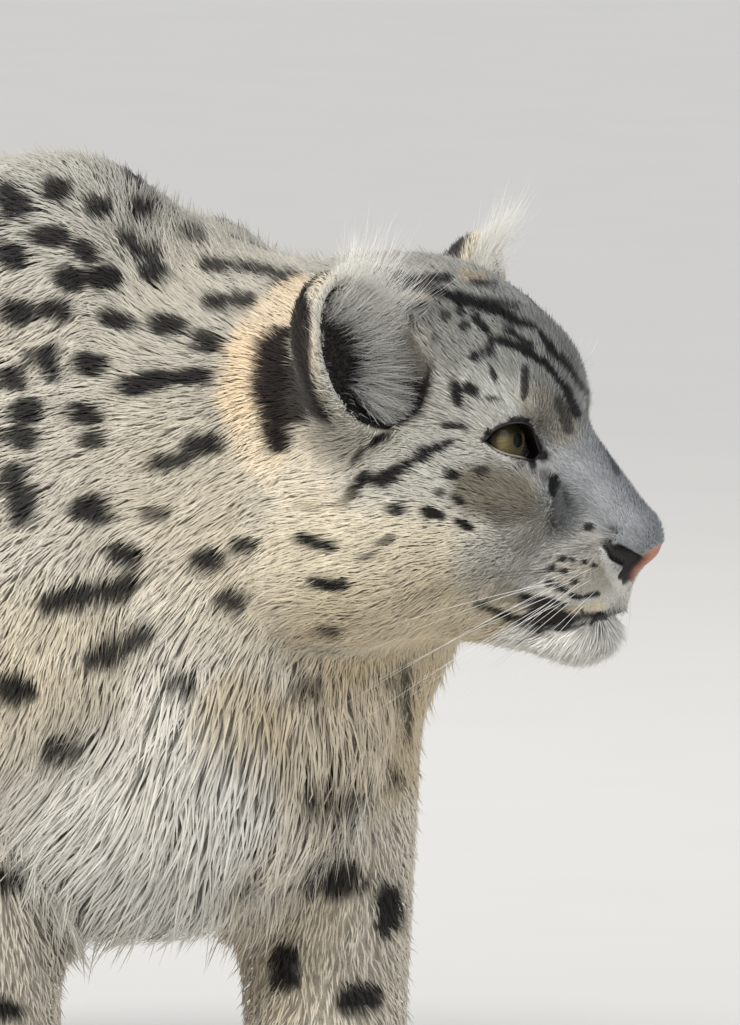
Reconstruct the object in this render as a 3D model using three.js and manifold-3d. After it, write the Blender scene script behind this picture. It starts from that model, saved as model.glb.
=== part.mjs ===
// A life-size snow leopard that stands with its head low and turned a little to its left.
// Units are millimetres. +X is forward, +Y is the animal's left, +Z is up and the floor is z = 0.
// The body is one smooth field of blended balls and limbs. It is meshed in pieces and parted by thin cuts.
import * as THREE from "three";
import { mergeVertices } from "three/addons/utils/BufferGeometryUtils.js";
import Module from "manifold-3d";

const wasm = await Module();
wasm.setup();

// Driving sizes
const GAP = 0.4;
const EYE_RADIUS = 16.5;
const LID_THICKNESS = 3;
const HEAD_AT = [275, 66, 501];
const HEAD_YAW = 25;
const HEAD_ROLL = 2;
const RIGHT_EYE = [-14, -32, 0];
const EYE_OUTWARD_DEGREES = 30;

// Forms
// A ball is [name, centre, radii, turn about z, blend]. A limb is [name, start, end, [side, up] at the start,
// the same at the end, blend]. A pair is written for the left side and repeated on the right.
const HEAD_BALLS = [
  ["cranium", [-62, 0, 30], [66, 58, 60], 0, 20],
  ["forehead", [-17, 0, 27], [41, 42, 39], 0, 20],
  ["nape", [-116, 0, 14], [54, 66, 60], 0, 30],
  ["nose_tip", [54, 0, -60], [16, 16, 13], 0, 8],
  ["chin", [27, 0, -112], [22, 23, 17], 0, 14],
];
const HEAD_LIMBS = [
  ["nose_bridge", [6, 0, -5], [56, 0, -50], [22, 24], [16, 13], 16],
  ["muzzle", [-12, 0, -60], [34, 0, -74], [42, 36], [33, 22], 18],
  ["jaw", [14, 0, -106], [-70, 0, -80], [26, 20], [54, 34], 18],
];
const HEAD_BALL_PAIRS = [
  ["brow", [-8, 29, 17], [22, 17, 12], 0, 16],
  ["cheekbone", [-6, 36, -34], [30, 20, 24], 0, 20],
  ["lip_pad", [31, 18, -81], [26, 22, 19], 0, 14],
  ["cheek", [-42, 42, -44], [46, 34, 46], 0, 24],
  ["ruff", [-92, 50, -60], [50, 41, 54], 0, 30],
];
// The cup of each ear, in the head's frame: base, the way it stands, the way it opens, and the radii of its
// outside and of its hollow along its height, width and depth.
const EAR = {
  base: [-74, 70, 35],
  stands: [-0.16, 0.6, 0.78],
  opens: [0.93, 0.2, 0.1],
  outside: [54, 38, 26],
  hollow: [46, 31, 28],
  rise: 20,
  hollowShift: 12,
};
// Points along the line of the mouth, from the middle to the left corner, in the head's frame.
const MOUTH_LINE = [
  [46, 0, -98],
  [41, 13, -99],
  [27, 25, -104],
  [9, 32, -105],
  [-2, 36, -102],
  [-13, 40, -95],
];
const MOUTH_GROOVE = 2.6;
const GROOVE_STEPS = { steps: 12, curveSegments: 3, bevelEnabled: false };
// Rows of locks on the breast and the belly. Each row fans out from a point inside the trunk over a span of
// turns about the vertical, with its tilt at the ends and in the middle, all in degrees. A lie is the way the
// coat runs, and sizes are [length, width].
const BELLY_ROWS = 6;
const BELLY_SPACING = 82;
const FRINGE = [
  { from: [70, 0, 405], turns: [-64, 34], tilts: [-4, -4], count: 5, lie: [-0.2, 0, -1], size: [86, 56] },
  { from: [70, 0, 385], turns: [-58, 66], tilts: [-30, -30], count: 5, lie: [-0.35, 0, -1], size: [98, 58] },
  { from: [60, 0, 370], turns: [-56, 60], tilts: [-54, -54], count: 4, lie: [-0.8, 0, -0.6], size: [92, 62] },
  ...Array.from({ length: BELLY_ROWS }, (_, i) => ({
    from: [6 - BELLY_SPACING * i, 0, 400 + 4 * i],
    turns: [-90, 90],
    tilts: [-56 + 6 * (i % 2), -84],
    count: 4,
    lie: [-0.98, 0, -0.2],
    size: [118 - 4 * i, 78 - 2 * i],
  })),
];
// A lock's root depth, the lift and droop of its curve, the highest that its tip stands, its least and most
// lean off the skin, the spread of its way, where it bends, the share by which lengths vary, the angle and
// the distance by which rows scatter and the most it rolls.
const LOCK = {
  sink: 10,
  lift: 5,
  droop: 9,
  rise: 34,
  lean: [0.14, 0.3],
  spread: 0.12,
  bend: 0.45,
  vary: 0.18,
  scatter: 3,
  stagger: 30,
  roll: 0.5,
  flatness: 0.3,
  taper: [0.9, 1, 0.68],
  stages: [0, 0.42, 0.76],
};
const LOCK_SEED = 7;
const EAR_BLEND = 14;
// An ear is parted from the head along its height, on its inner side and behind.
const EAR_CUTS = { height: 14, inner: 36, back: -112 };
const NOSTRIL = { front: [67, 6, -67], back: [53, 16, -57], radius: 3.6 };
// Stations along the trunk: [x, half width, top, bottom].
const TRUNK = [
  [-585, 116, 602, 360],
  [-510, 136, 611, 314],
  [-420, 150, 604, 282],
  [-320, 158, 596, 262],
  [-210, 157, 593, 244],
  [-110, 147, 602, 228],
  [-20, 133, 602, 220],
  [55, 114, 588, 226],
  [105, 88, 560, 254],
];
const TRUNK_CAPS = { front: 72, rear: 76, narrowTop: 0.13, blend: 40 };
// Limbs of one chain meet with no blend between them. A chain is [blend, limbs].
const NECK = [
  50,
  [
    ["neck", [20, -4, 470], [110, 8, 481], [112, 127], [98, 112]],
    ["neck", [110, 8, 481], [190, 26, 498], [98, 112], [84, 94]],
  ],
];
const FORELEG_RIGHT = [
  40,
  [
    ["blade", [34, -94, 410], [-20, -56, 590], [60, 78], [42, 66]],
    ["crest", [10, -54, 598], [-88, -50, 597], [40, 44], [42, 45]],
    ["arm", [34, -94, 410], [-42, -92, 335], [60, 78], [54, 62]],
    ["forearm", [-42, -92, 335], [-34, -90, 130], [54, 62], [46, 47]],
    ["pastern", [-34, -90, 130], [-20, -90, 60], [46, 47], [46, 45]],
  ],
];
const FORELEG_LEFT = [
  40,
  [
    ["blade", [98, 88, 412], [-20, 58, 549], [56, 72], [42, 58]],
    ["arm", [98, 88, 412], [54, 92, 335], [56, 72], [54, 62]],
    ["forearm", [54, 92, 335], [60, 88, 130], [54, 62], [46, 47]],
    ["pastern", [60, 88, 130], [74, 88, 60], [46, 47], [46, 45]],
  ],
];
const HINDLEG_RIGHT = [
  40,
  [
    ["thigh", [-560, -70, 462], [-492, -96, 338], [76, 118], [58, 82]],
    ["shank", [-492, -96, 338], [-606, -96, 192], [58, 74], [38, 42]],
    ["hock", [-606, -96, 192], [-572, -96, 60], [38, 42], [42, 44]],
  ],
];
const HINDLEG_LEFT = [
  40,
  [
    ["thigh", [-572, 70, 462], [-528, 96, 335], [76, 118], [58, 82]],
    ["shank", [-528, 96, 335], [-684, 96, 198], [58, 74], [38, 42]],
    ["hock", [-684, 96, 198], [-658, 96, 60], [38, 42], [42, 44]],
  ],
];
// A paw is [name, the point under its middle, length, width, height].
const PAWS = [
  ["forepaw_right", [2, -90], 128, 104, 66],
  ["forepaw_left", [96, 88], 128, 104, 66],
  ["hindpaw_right", [-548, -96], 122, 96, 60],
  ["hindpaw_left", [-633, 96], 122, 96, 60],
];
// The tail's middle line with its radius at each point, and the points where it is parted.
const TAIL_LINE = [
  [-610, 0, 500],
  [-680, 0, 496],
  [-752, 0, 445],
  [-806, 4, 350],
  [-846, 14, 245],
  [-898, 30, 155],
  [-970, 54, 104],
  [-1060, 84, 90],
  [-1146, 118, 108],
  [-1210, 152, 156],
  [-1246, 182, 220],
];
const TAIL_RADII = [60, 56, 52, 52, 54, 56, 57, 57, 56, 52, 36];
const TAIL_STEPS = 3;
const TAIL_CUTS = [3, 5, 7];
const TAIL_SIDES = 12;
// The tail's rounded end, as [forward, radius] in shares of the last radius.
const TAIL_TIP = [
  [0.5, 0.87],
  [0.86, 0.5],
  [1, 0.12],
];
// The almond opening of the eye, and the part of the eye's axis that rises.
const LID_SHAPE = { outer: -18, inner: 20, top: 9, bottom: 8, innerDrop: -8, outerRise: 1, depth: 40 };
const EYE_RISE = 0.06;

// Boxes that the field is meshed in, with the grid's steps
const TORSO_GRID = { low: [-760, -200, 150], high: [260, 200, 700], step: [46, 32, 30] };
const NECK_GRID = { low: [-30, -170, 300], high: [330, 200, 700], step: [24, 24, 24] };
const TAIL_GRID = { low: [-880, -90, 290], high: [-610, 90, 590], step: [30, 30, 30] };
const EAR_GRID = { reach: 62, step: [11.3, 11.3, 11.3] };
// Each of the head's axes has spans of [low, high, step] from the middle of the head.
const HEAD_GRID = [
  [[-200, -30, 17], [-30, 95, 7.5]],
  [[-140, 140, 9.4]],
  [[-160, 10, 7.5], [10, 170, 12]],
];
// A leg's grids run from the middle of the body outwards.
const LEG_SPAN = [10, -190];
const LEG_GRIDS = {
  foreleg: { x: [-160, 230], z: [60, 420], step: [20, 20, 34] },
  forepaw: { x: [-160, 230], z: [-30, 130], step: [19, 16, 16] },
  thigh: { x: [-800, -380], z: [200, 460], step: [28, 28, 28] },
  shank: { x: [-800, -380], z: [60, 290], step: [20, 20, 28] },
  hindpaw: { x: [-800, -380], z: [-30, 120], step: [19, 16, 16] },
};
// Heights at which the legs are parted, with one above and one below them all.
const WRIST = 95;
const ANKLE = 90;
const KNEE = 250;
const ABOVE = 1000;
const BELOW = -100;
const EYE_SEGMENTS = [12, 8];
const HOLLOW_SEGMENTS = [16, 12];
const SLOPE_STEP = 2;
const RAY_STEP = 6;
const HALVINGS = 12;

// Small vector helpers
const radians = THREE.MathUtils.degToRad;
const lerp = THREE.MathUtils.lerp;
const dot = (a, b) => a[0] * b[0] + a[1] * b[1] + a[2] * b[2];
const sub = (a, b) => [a[0] - b[0], a[1] - b[1], a[2] - b[2]];
const along = (a, b, t) => [a[0] + b[0] * t, a[1] + b[1] * t, a[2] + b[2] * t];
const unit = (a) => along([0, 0, 0], a, 1 / Math.hypot(...a));
const cross = (a, b) => [a[1] * b[2] - a[2] * b[1], a[2] * b[0] - a[0] * b[2], a[0] * b[1] - a[1] * b[0]];

// Grid lines between two limits, at most a step apart.
function lines(low, high, step) {
  const count = Math.ceil((high - low) / step);
  return Array.from({ length: count + 1 }, (_, i) => lerp(low, high, i / count));
}

const flipped = ([point, normal]) => [point, along([0, 0, 0], normal, -1)];

// The distance to an ellipsoid, measured along the line to its centre.
function shellDistance(offset, axes, radii) {
  const length = Math.hypot(...offset);
  const share = Math.hypot(...axes.map((axis, i) => dot(offset, axis) / radii[i]));
  return share < 1e-6 ? -Math.min(...radii) : length * (1 - 1 / share);
}

function ball([, centre, radii, turn, blend]) {
  const c = Math.cos(radians(turn));
  const s = Math.sin(radians(turn));
  const axes = [
    [c, s, 0],
    [-s, c, 0],
    [0, 0, 1],
  ];
  return { blend, distance: (p) => shellDistance(sub(p, centre), axes, radii) };
}

function limb([, start, end, startRadii, endRadii, blend]) {
  const reach = Math.hypot(...sub(end, start));
  const axis = unit(sub(end, start));
  const side = unit(along([0, 1, 0], axis, -axis[1]));
  const axes = [side, cross(axis, side), axis];
  const distance = (p) => {
    const t = Math.min(Math.max(dot(sub(p, start), axis) / reach, 0), 1);
    const wide = lerp(startRadii[0], endRadii[0], t);
    const tall = lerp(startRadii[1], endRadii[1], t);
    return shellDistance(sub(p, along(start, axis, t * reach)), axes, [wide, tall, Math.min(wide, tall)]);
  };
  return { blend, distance };
}

function chain([blend, members]) {
  const limbs = members.map(limb);
  return { blend, distance: (p) => Math.min(...limbs.map((part) => part.distance(p))) };
}

function blendMin(a, b, width) {
  const h = Math.max(width - Math.abs(a - b), 0) / width;
  return Math.min(a, b) - (h * h * width) / 4;
}

// The value at a place along rows of stations whose first entry is that place, by a smooth curve.
function stationAt(rows, place) {
  const last = rows.length - 1;
  const i = Math.min(Math.max(rows.filter((row) => row[0] <= place).length - 1, 0), last - 1);
  const share = (place - rows[i][0]) / (rows[i + 1][0] - rows[i][0]);
  const near = [-1, 0, 1, 2].map((n) => rows[Math.min(Math.max(i + n, 0), last)]);
  const curve = (a, b, c, d) => {
    const bend = 2 * a - 5 * b + 4 * c - d + share * (3 * (b - c) + d - a);
    return b + 0.5 * share * (c - a + share * bend);
  };
  return rows[0].map((_, c) => curve(...near.map((row) => row[c])));
}

const UPRIGHT = [
  [1, 0, 0],
  [0, 1, 0],
  [0, 0, 1],
];

function trunkDistance([x, y, z]) {
  const place = Math.min(Math.max(x, TRUNK[0][0]), TRUNK.at(-1)[0] - 1e-3);
  const [, half, top, bottom] = stationAt(TRUNK, place);
  const tall = (top - bottom) / 2;
  const height = z - (top + bottom) / 2;
  const wide = half * (1 - TRUNK_CAPS.narrowTop * Math.min(Math.max(height / tall, -1), 1));
  const cap = x > place ? TRUNK_CAPS.front : TRUNK_CAPS.rear;
  return shellDistance([x - place, y, height], UPRIGHT, [cap, wide, tall]);
}

const fieldOf = (forms) => (p) => forms.reduce((d, form) => blendMin(d, form.distance(p), form.blend), 1e3);
const mirrored = ([name, centre, ...rest]) => [name, [centre[0], -centre[1], centre[2]], ...rest];

// The head's own frame lies between the eyes.
const headPlace = new THREE.Matrix4()
  .makeRotationZ(radians(HEAD_YAW))
  .multiply(new THREE.Matrix4().makeRotationX(radians(HEAD_ROLL)))
  .setPosition(...HEAD_AT);
const headInverse = headPlace.clone().invert();
const fromHead = (p) => new THREE.Vector3(...p).applyMatrix4(headPlace).toArray();
const turnFromHead = (p) => new THREE.Vector3(...p).transformDirection(headPlace).toArray();

const headForms = [
  ...HEAD_BALLS.map(ball),
  ...HEAD_LIMBS.map(limb),
  ...HEAD_BALL_PAIRS.flatMap((form) => [ball(form), ball(mirrored(form))]),
];
const skullField = fieldOf(headForms);
const HEAD_REACH = 270;
const HEAD_BLEND = 40;

// An ear's own frame: its height, its width and the way it opens. Side 1 is the left and side -1 the right.
function earFrame(side) {
  const turned = (v) => [v[0], side * v[1], v[2]];
  const up = unit(turned(EAR.stands));
  const open = unit(along(turned(EAR.opens), up, -dot(turned(EAR.opens), up)));
  const centre = along(turned(EAR.base), up, EAR.rise);
  return { up, open, centre, axes: [up, cross(open, up), open] };
}

const earForms = [-1, 1].map((side) => {
  const { axes, centre } = earFrame(side);
  return { blend: EAR_BLEND, distance: (p) => shellDistance(sub(p, centre), axes, EAR.outside) };
});
const headField = fieldOf([...headForms, ...earForms]);

// The hollow of the ear's cup.
function earHollow(side) {
  const { axes, centre, open } = earFrame(side);
  const place = new THREE.Matrix4()
    .makeBasis(...axes.map((axis) => new THREE.Vector3(...axis)))
    .setPosition(...along(centre, open, EAR.hollowShift));
  const egg = new THREE.SphereGeometry(1, ...HOLLOW_SEGMENTS).scale(...EAR.hollow);
  return solidOf(egg.applyMatrix4(headPlace.clone().multiply(place)));
}

function pawForms([name, [x, y], length, width, height]) {
  const toes = [-0.36, -0.13, 0.13, 0.36].map((share, i) => {
    const forward = i === 0 || i === 3 ? 0.2 : 0.31;
    const centre = [x + forward * length, y + share * width, height * 0.3];
    return [`${name}_toe`, centre, [length * 0.2, width * 0.16, height * 0.4], 0, 9];
  });
  const middle = [x - 0.06 * length, y, height * 0.36];
  const heel = [name, middle, [length * 0.4, width * 0.46, height * 0.6], 0, 20];
  return [heel, ...toes].map(ball);
}

const tailRows = TAIL_LINE.map((point, i) => [i, ...point, TAIL_RADII[i]]);
const tailPoints = lines(0, TAIL_LINE.length - 1, 1 / TAIL_STEPS).map((place) => stationAt(tailRows, place));
const tailChain = [
  30,
  tailPoints.slice(1).map((row, i) => {
    const before = tailPoints[i];
    return ["tail", before.slice(1, 4), row.slice(1, 4), [before[4], before[4]], [row[4], row[4]]];
  }),
];
const tailForm = chain(tailChain);
const coreForms = [{ blend: TRUNK_CAPS.blend, distance: trunkDistance }, chain(NECK)];
const coreField = fieldOf(coreForms);
const bodyForms = [
  ...coreForms,
  ...[FORELEG_RIGHT, FORELEG_LEFT, HINDLEG_RIGHT, HINDLEG_LEFT].map(chain),
  ...PAWS.flatMap(pawForms),
  tailForm,
];
const trunkField = fieldOf(bodyForms);
const headVector = new THREE.Vector3();

function bodyField(p) {
  const body = trunkField(p);
  if (Math.hypot(...sub(p, HEAD_AT)) > HEAD_REACH) return body;
  const local = headVector.set(...p).applyMatrix4(headInverse).toArray();
  return blendMin(body, headField(local), HEAD_BLEND);
}

// Clears the corners that touch only across a cell face's diagonal, so that two sheets never share an edge.
function partDiagonals(values, [nx, ny, nz]) {
  const steps = [1, nx, nx * ny];
  let cleared = true;
  while (cleared) {
    cleared = false;
    for (let n = 0; n < nx * ny * (nz - 1); n++)
      for (const skipped of steps) {
        const [u, v] = steps.filter((step) => step !== skipped);
        const ring = [n, n + u, n + u + v, n + v];
        const inside = ring.map((corner) => values[corner] < 0);
        if (inside[0] !== inside[2] || inside[1] !== inside[3] || inside[0] === inside[1]) continue;
        const pair = inside[0] ? [ring[0], ring[2]] : [ring[1], ring[3]];
        values[values[pair[0]] > values[pair[1]] ? pair[0] : pair[1]] = 1e-3;
        cleared = true;
      }
  }
}

// The zero surface of a field, as one closed mesh with a vertex in each cell that the surface crosses.
function netOf(field, xs, ys, zs) {
  const [nx, ny, nz] = [xs.length, ys.length, zs.length];
  const at = (i, j, k) => (k * ny + j) * nx + i;
  const values = new Float32Array(nx * ny * nz);
  for (let k = 0; k < nz; k++)
    for (let j = 0; j < ny; j++)
      for (let i = 0; i < nx; i++) {
        const rim = i === 0 || j === 0 || k === 0 || i === nx - 1 || j === ny - 1 || k === nz - 1;
        const value = field([xs[i], ys[j], zs[k]]);
        values[at(i, j, k)] = rim ? Math.max(value, 1) : value || 1e-4;
      }
  partDiagonals(values, [nx, ny, nz]);
  const cells = new Int32Array(nx * ny * nz).fill(-1);
  const points = [];
  const corners = [0, 1, 2, 3, 4, 5, 6, 7].map((c) => [c & 1, (c >> 1) & 1, c >> 2]);
  for (let k = 0; k < nz - 1; k++)
    for (let j = 0; j < ny - 1; j++)
      for (let i = 0; i < nx - 1; i++) {
        const sum = [0, 0, 0];
        let crossings = 0;
        corners.forEach((a, ca) => {
          for (const bit of [1, 2, 4]) {
            if (ca & bit) continue;
            const b = corners[ca | bit];
            const va = values[at(i + a[0], j + a[1], k + a[2])];
            const vb = values[at(i + b[0], j + b[1], k + b[2])];
            if (va < 0 === vb < 0) continue;
            const t = va / (va - vb);
            sum[0] += lerp(xs[i + a[0]], xs[i + b[0]], t);
            sum[1] += lerp(ys[j + a[1]], ys[j + b[1]], t);
            sum[2] += lerp(zs[k + a[2]], zs[k + b[2]], t);
            crossings += 1;
          }
        });
        if (!crossings) continue;
        cells[at(i, j, k)] = points.length / 3;
        points.push(...sum.map((v) => v / crossings));
      }
  const faces = [];
  const cell = (i, j, k) => cells[at(i, j, k)];
  const gap = (a, b) => Math.hypot(...[0, 1, 2].map((c) => points[3 * a + c] - points[3 * b + c]));
  const quad = (a, b, c, d, flip) => {
    const ring = flip ? [d, c, b, a] : [a, b, c, d];
    const first = gap(ring[0], ring[2]) <= gap(ring[1], ring[3]) ? 0 : 1;
    const [p, q, r, s] = [0, 1, 2, 3].map((n) => ring[(n + first) % 4]);
    faces.push(p, q, r, p, r, s);
  };
  for (let k = 0; k < nz - 1; k++)
    for (let j = 0; j < ny - 1; j++)
      for (let i = 0; i < nx - 1; i++) {
        const here = values[at(i, j, k)] < 0;
        if (here !== values[at(i + 1, j, k)] < 0)
          quad(cell(i, j - 1, k - 1), cell(i, j, k - 1), cell(i, j, k), cell(i, j - 1, k), !here);
        if (here !== values[at(i, j + 1, k)] < 0)
          quad(cell(i - 1, j, k - 1), cell(i - 1, j, k), cell(i, j, k), cell(i, j, k - 1), !here);
        if (here !== values[at(i, j, k + 1)] < 0)
          quad(cell(i - 1, j - 1, k), cell(i, j - 1, k), cell(i, j, k), cell(i - 1, j, k), !here);
      }
  return new THREE.BufferGeometry()
    .setAttribute("position", new THREE.Float32BufferAttribute(points, 3))
    .setIndex(faces);
}

// Solids
function solidOf(geometry) {
  const bare = geometry.clone();
  bare.deleteAttribute("normal");
  bare.deleteAttribute("uv");
  const merged = mergeVertices(bare, 1e-3);
  const vertProperties = new Float32Array(merged.attributes.position.array);
  const triVerts = new Uint32Array(merged.index.array);
  return new wasm.Manifold(new wasm.Mesh({ numProp: 3, vertProperties, triVerts }));
}

function geometryOf(solid) {
  const mesh = solid.getMesh();
  const positions = new Float32Array(mesh.numVert * 3);
  for (let i = 0; i < mesh.numVert; i++)
    positions.set(mesh.vertProperties.subarray(i * mesh.numProp, i * mesh.numProp + 3), i * 3);
  return new THREE.BufferGeometry()
    .setAttribute("position", new THREE.BufferAttribute(positions, 3))
    .setIndex(new THREE.BufferAttribute(new Uint32Array(mesh.triVerts), 1));
}

const largest = (solid) => solid.decompose().reduce((a, b) => (b.volume() > a.volume() ? b : a));

// A box that fills the side of a plane that its normal points to, moved along that normal by a shift.
const HALF_SPACE = 4000;
function halfSpace(point, normal, shift) {
  const direction = new THREE.Vector3(...normal).normalize();
  const centre = new THREE.Vector3(...point).addScaledVector(direction, HALF_SPACE / 2 + shift);
  const turn = new THREE.Quaternion().setFromUnitVectors(new THREE.Vector3(0, 0, 1), direction);
  const box = new THREE.BoxGeometry(HALF_SPACE, HALF_SPACE, HALF_SPACE);
  return solidOf(box.applyQuaternion(turn).translate(...centre.toArray()));
}

// A region is a list of planes, each [point, normal], and lies on the side that every normal points to.
const regionSolid = (planes, shift) =>
  planes.map(([point, normal]) => halfSpace(point, normal, shift)).reduce((a, b) => a.intersect(b));

// The parting planes
const HEAD_PLANE = [fromHead([-122, 0, -10]), turnFromHead([0.94, 0, 0.34])];
const NECK_PLANE = [
  [88, 8, 480],
  [0.82, 0.1, 0.56],
];
const TAIL_PLANE = [
  [-694, 0, 490],
  [-0.9, 0, -0.43],
];
const TAIL_SIDE = 76;
const tailPlanes = TAIL_CUTS.map((i) => [TAIL_LINE[i], unit(sub(TAIL_LINE[i + 1], TAIL_LINE[i - 1]))]);
const TAIL_ROOT_REGION = [
  TAIL_PLANE,
  flipped(tailPlanes[0]),
  [[0, -TAIL_SIDE, 0], [0, 1, 0]],
  [[0, TAIL_SIDE, 0], [0, -1, 0]],
];
// A leg's region lies outside a sloping plane through a point under the chest or the groin.
const LEG_SLOPE = [1.25, 0.8];
const ARMPIT = { side: 50, height: 200 };
const GROIN = { side: 40, height: 262 };

// The region of a leg on one side, from its armpit or groin outwards and down, between two places along x.
function legRegion(side, fold, back, front) {
  return [
    [[0, side * fold.side, fold.height], [0, side * LEG_SLOPE[0], -LEG_SLOPE[1]]],
    [[0, (side * fold.side) / 2, 0], [0, side, 0]],
    [[back, 0, 0], [1, 0, 0]],
    [[front, 0, 0], [-1, 0, 0]],
  ];
}

const LEG_REGIONS = {
  foreleg_right: legRegion(-1, ARMPIT, -128, 90),
  foreleg_left: legRegion(1, ARMPIT, -34, 185),
  hindleg_right: legRegion(-1, GROIN, -676, -398),
  hindleg_left: legRegion(1, GROIN, -740, -436),
};

// Meshes the body in a box and keeps what lies in a region.
function bodyPiece({ low, high, step }, region) {
  const [xs, ys, zs] = [0, 1, 2].map((c) => lines(low[c], high[c], step[c]));
  return solidOf(netOf(bodyField, xs, ys, zs)).intersect(regionSolid(region, GAP / 2));
}

const FLOOR = [
  [0, 0, 0],
  [0, 0, 1],
];
// The floor plane is kept at its true height, whatever the gap.
const onFloor = (solid) => solid.intersect(halfSpace(...FLOOR, 0));

function torsoSolid() {
  let torso = bodyPiece(TORSO_GRID, [flipped(NECK_PLANE)]);
  const draw = randomDraw(LOCK_SEED);
  for (const row of FRINGE) torso = addRow(torso, row, draw);
  torso = torso.intersect(regionSolid([flipped(NECK_PLANE)], GAP / 2));
  for (const region of [TAIL_ROOT_REGION, ...Object.values(LEG_REGIONS)])
    torso = torso.subtract(regionSolid(region, -GAP / 2));
  return largest(torso);
}

const neckSolid = () => largest(bodyPiece(NECK_GRID, [NECK_PLANE, flipped(HEAD_PLANE)]));

// The almond opening between the lids, as a prism that runs out of the head along the eye's axis.
function lidOpening(side) {
  const { outer, inner, top, bottom, innerDrop, outerRise, depth } = LID_SHAPE;
  const across = (x) => -side * x;
  const almond = new THREE.Shape();
  almond.moveTo(across(outer), outerRise);
  almond.quadraticCurveTo(across(outer * 0.3), top * 1.6, across(inner * 0.55), top * 0.6);
  almond.quadraticCurveTo(across(inner * 0.85), 0, across(inner), innerDrop);
  almond.quadraticCurveTo(across(inner * 0.2), -bottom * 1.5, across(outer), outerRise);
  const prism = new THREE.ExtrudeGeometry(almond, { depth, bevelEnabled: false, curveSegments: 5 });
  return solidOf(prism.applyMatrix4(eyePlace(side)));
}

// Places a shape drawn in the eye's own frame: x to the animal's left, y up and z out of the eye.
function eyePlace(side) {
  const out = radians(EYE_OUTWARD_DEGREES);
  const axis = new THREE.Vector3(Math.cos(out), side * Math.sin(out), EYE_RISE).normalize();
  const up = new THREE.Vector3(0, 0, 1).addScaledVector(axis, -axis.z).normalize();
  const inward = new THREE.Vector3().crossVectors(up, axis);
  const centre = [RIGHT_EYE[0], -side * RIGHT_EYE[1], RIGHT_EYE[2]];
  return headPlace.clone().multiply(new THREE.Matrix4().makeBasis(inward, up, axis).setPosition(...centre));
}

const eyeBall = (radius, side) =>
  solidOf(new THREE.SphereGeometry(radius, ...EYE_SEGMENTS).applyMatrix4(eyePlace(side)));

// An ear's region lies beyond a plane near its base.
function earRegion(side) {
  const { up, centre } = earFrame(side);
  return [
    [fromHead(along(centre, up, EAR_CUTS.height - EAR.rise)), turnFromHead(up)],
    [fromHead([0, side * EAR_CUTS.inner, 0]), turnFromHead([0, side, 0])],
    [fromHead([EAR_CUTS.back, 0, 0]), turnFromHead([1, 0, 0])],
  ];
}

function earSolid(side) {
  const { up, centre } = earFrame(side);
  const middle = fromHead(along(centre, up, EAR_CUTS.height));
  const low = middle.map((v) => v - EAR_GRID.reach);
  const high = middle.map((v) => v + EAR_GRID.reach);
  const grid = { low, high, step: EAR_GRID.step };
  return largest(bodyPiece(grid, earRegion(side)).subtract(earHollow(side)));
}

function headSolid() {
  const axes = HEAD_GRID.map((spans, c) => {
    const all = spans.flatMap(([low, high, step]) => lines(HEAD_AT[c] + low, HEAD_AT[c] + high, step));
    return all.filter((value, i) => i === 0 || value > all[i - 1]);
  });
  let head = solidOf(netOf(bodyField, ...axes)).intersect(regionSolid([HEAD_PLANE, NECK_PLANE], GAP / 2));
  for (const side of [-1, 1]) head = head.add(eyeBall(EYE_RADIUS + LID_THICKNESS, side));
  for (const side of [-1, 1]) {
    head = head.subtract(eyeBall(EYE_RADIUS + GAP, side)).subtract(lidOpening(side));
    head = head.subtract(regionSolid(earRegion(side), -GAP / 2)).subtract(earHollow(side));
    head = head.subtract(nostril(side)).subtract(mouthGroove(side));
  }
  return largest(head);
}

function nostril(side) {
  const [front, back] = [NOSTRIL.front, NOSTRIL.back].map(([x, y, z]) => fromHead([x, side * y, z]));
  const way = new THREE.Vector3(...sub(back, front));
  const turn = new THREE.Quaternion().setFromUnitVectors(new THREE.Vector3(0, 1, 0), way.clone().normalize());
  const capsule = new THREE.CapsuleGeometry(NOSTRIL.radius, way.length(), 3, 7);
  return solidOf(capsule.applyQuaternion(turn).translate(...along(front, sub(back, front), 0.5)));
}

// The place where a ray from inside a form first meets its surface.
function surfaceOf(field, inside, way) {
  let far = 0;
  while (field(along(inside, way, far)) < 0) far += RAY_STEP;
  let near = far - RAY_STEP;
  for (let i = 0; i < HALVINGS; i++) {
    const middle = (near + far) / 2;
    if (field(along(inside, way, middle)) < 0) near = middle;
    else far = middle;
  }
  return along(inside, way, near);
}

function normalOf(field, p) {
  const slope = [0, 1, 2].map((c) => {
    const step = [0, 0, 0];
    step[c] = SLOPE_STEP;
    return field(along(p, step, 1)) - field(along(p, step, -1));
  });
  return unit(slope);
}

// Moves a point towards a field's surface until it stands no higher than a limit.
function lowered(field, p, limit) {
  const excess = Math.max(field(p) - limit, 0);
  return along(p, normalOf(field, p), -excess);
}

// Seeded random numbers from -1 to 1.
function randomDraw(seed) {
  let state = seed;
  return () => {
    state = (state * 1103515245 + 12345) % 2147483648;
    return state / 1073741824 - 1;
  };
}

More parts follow.
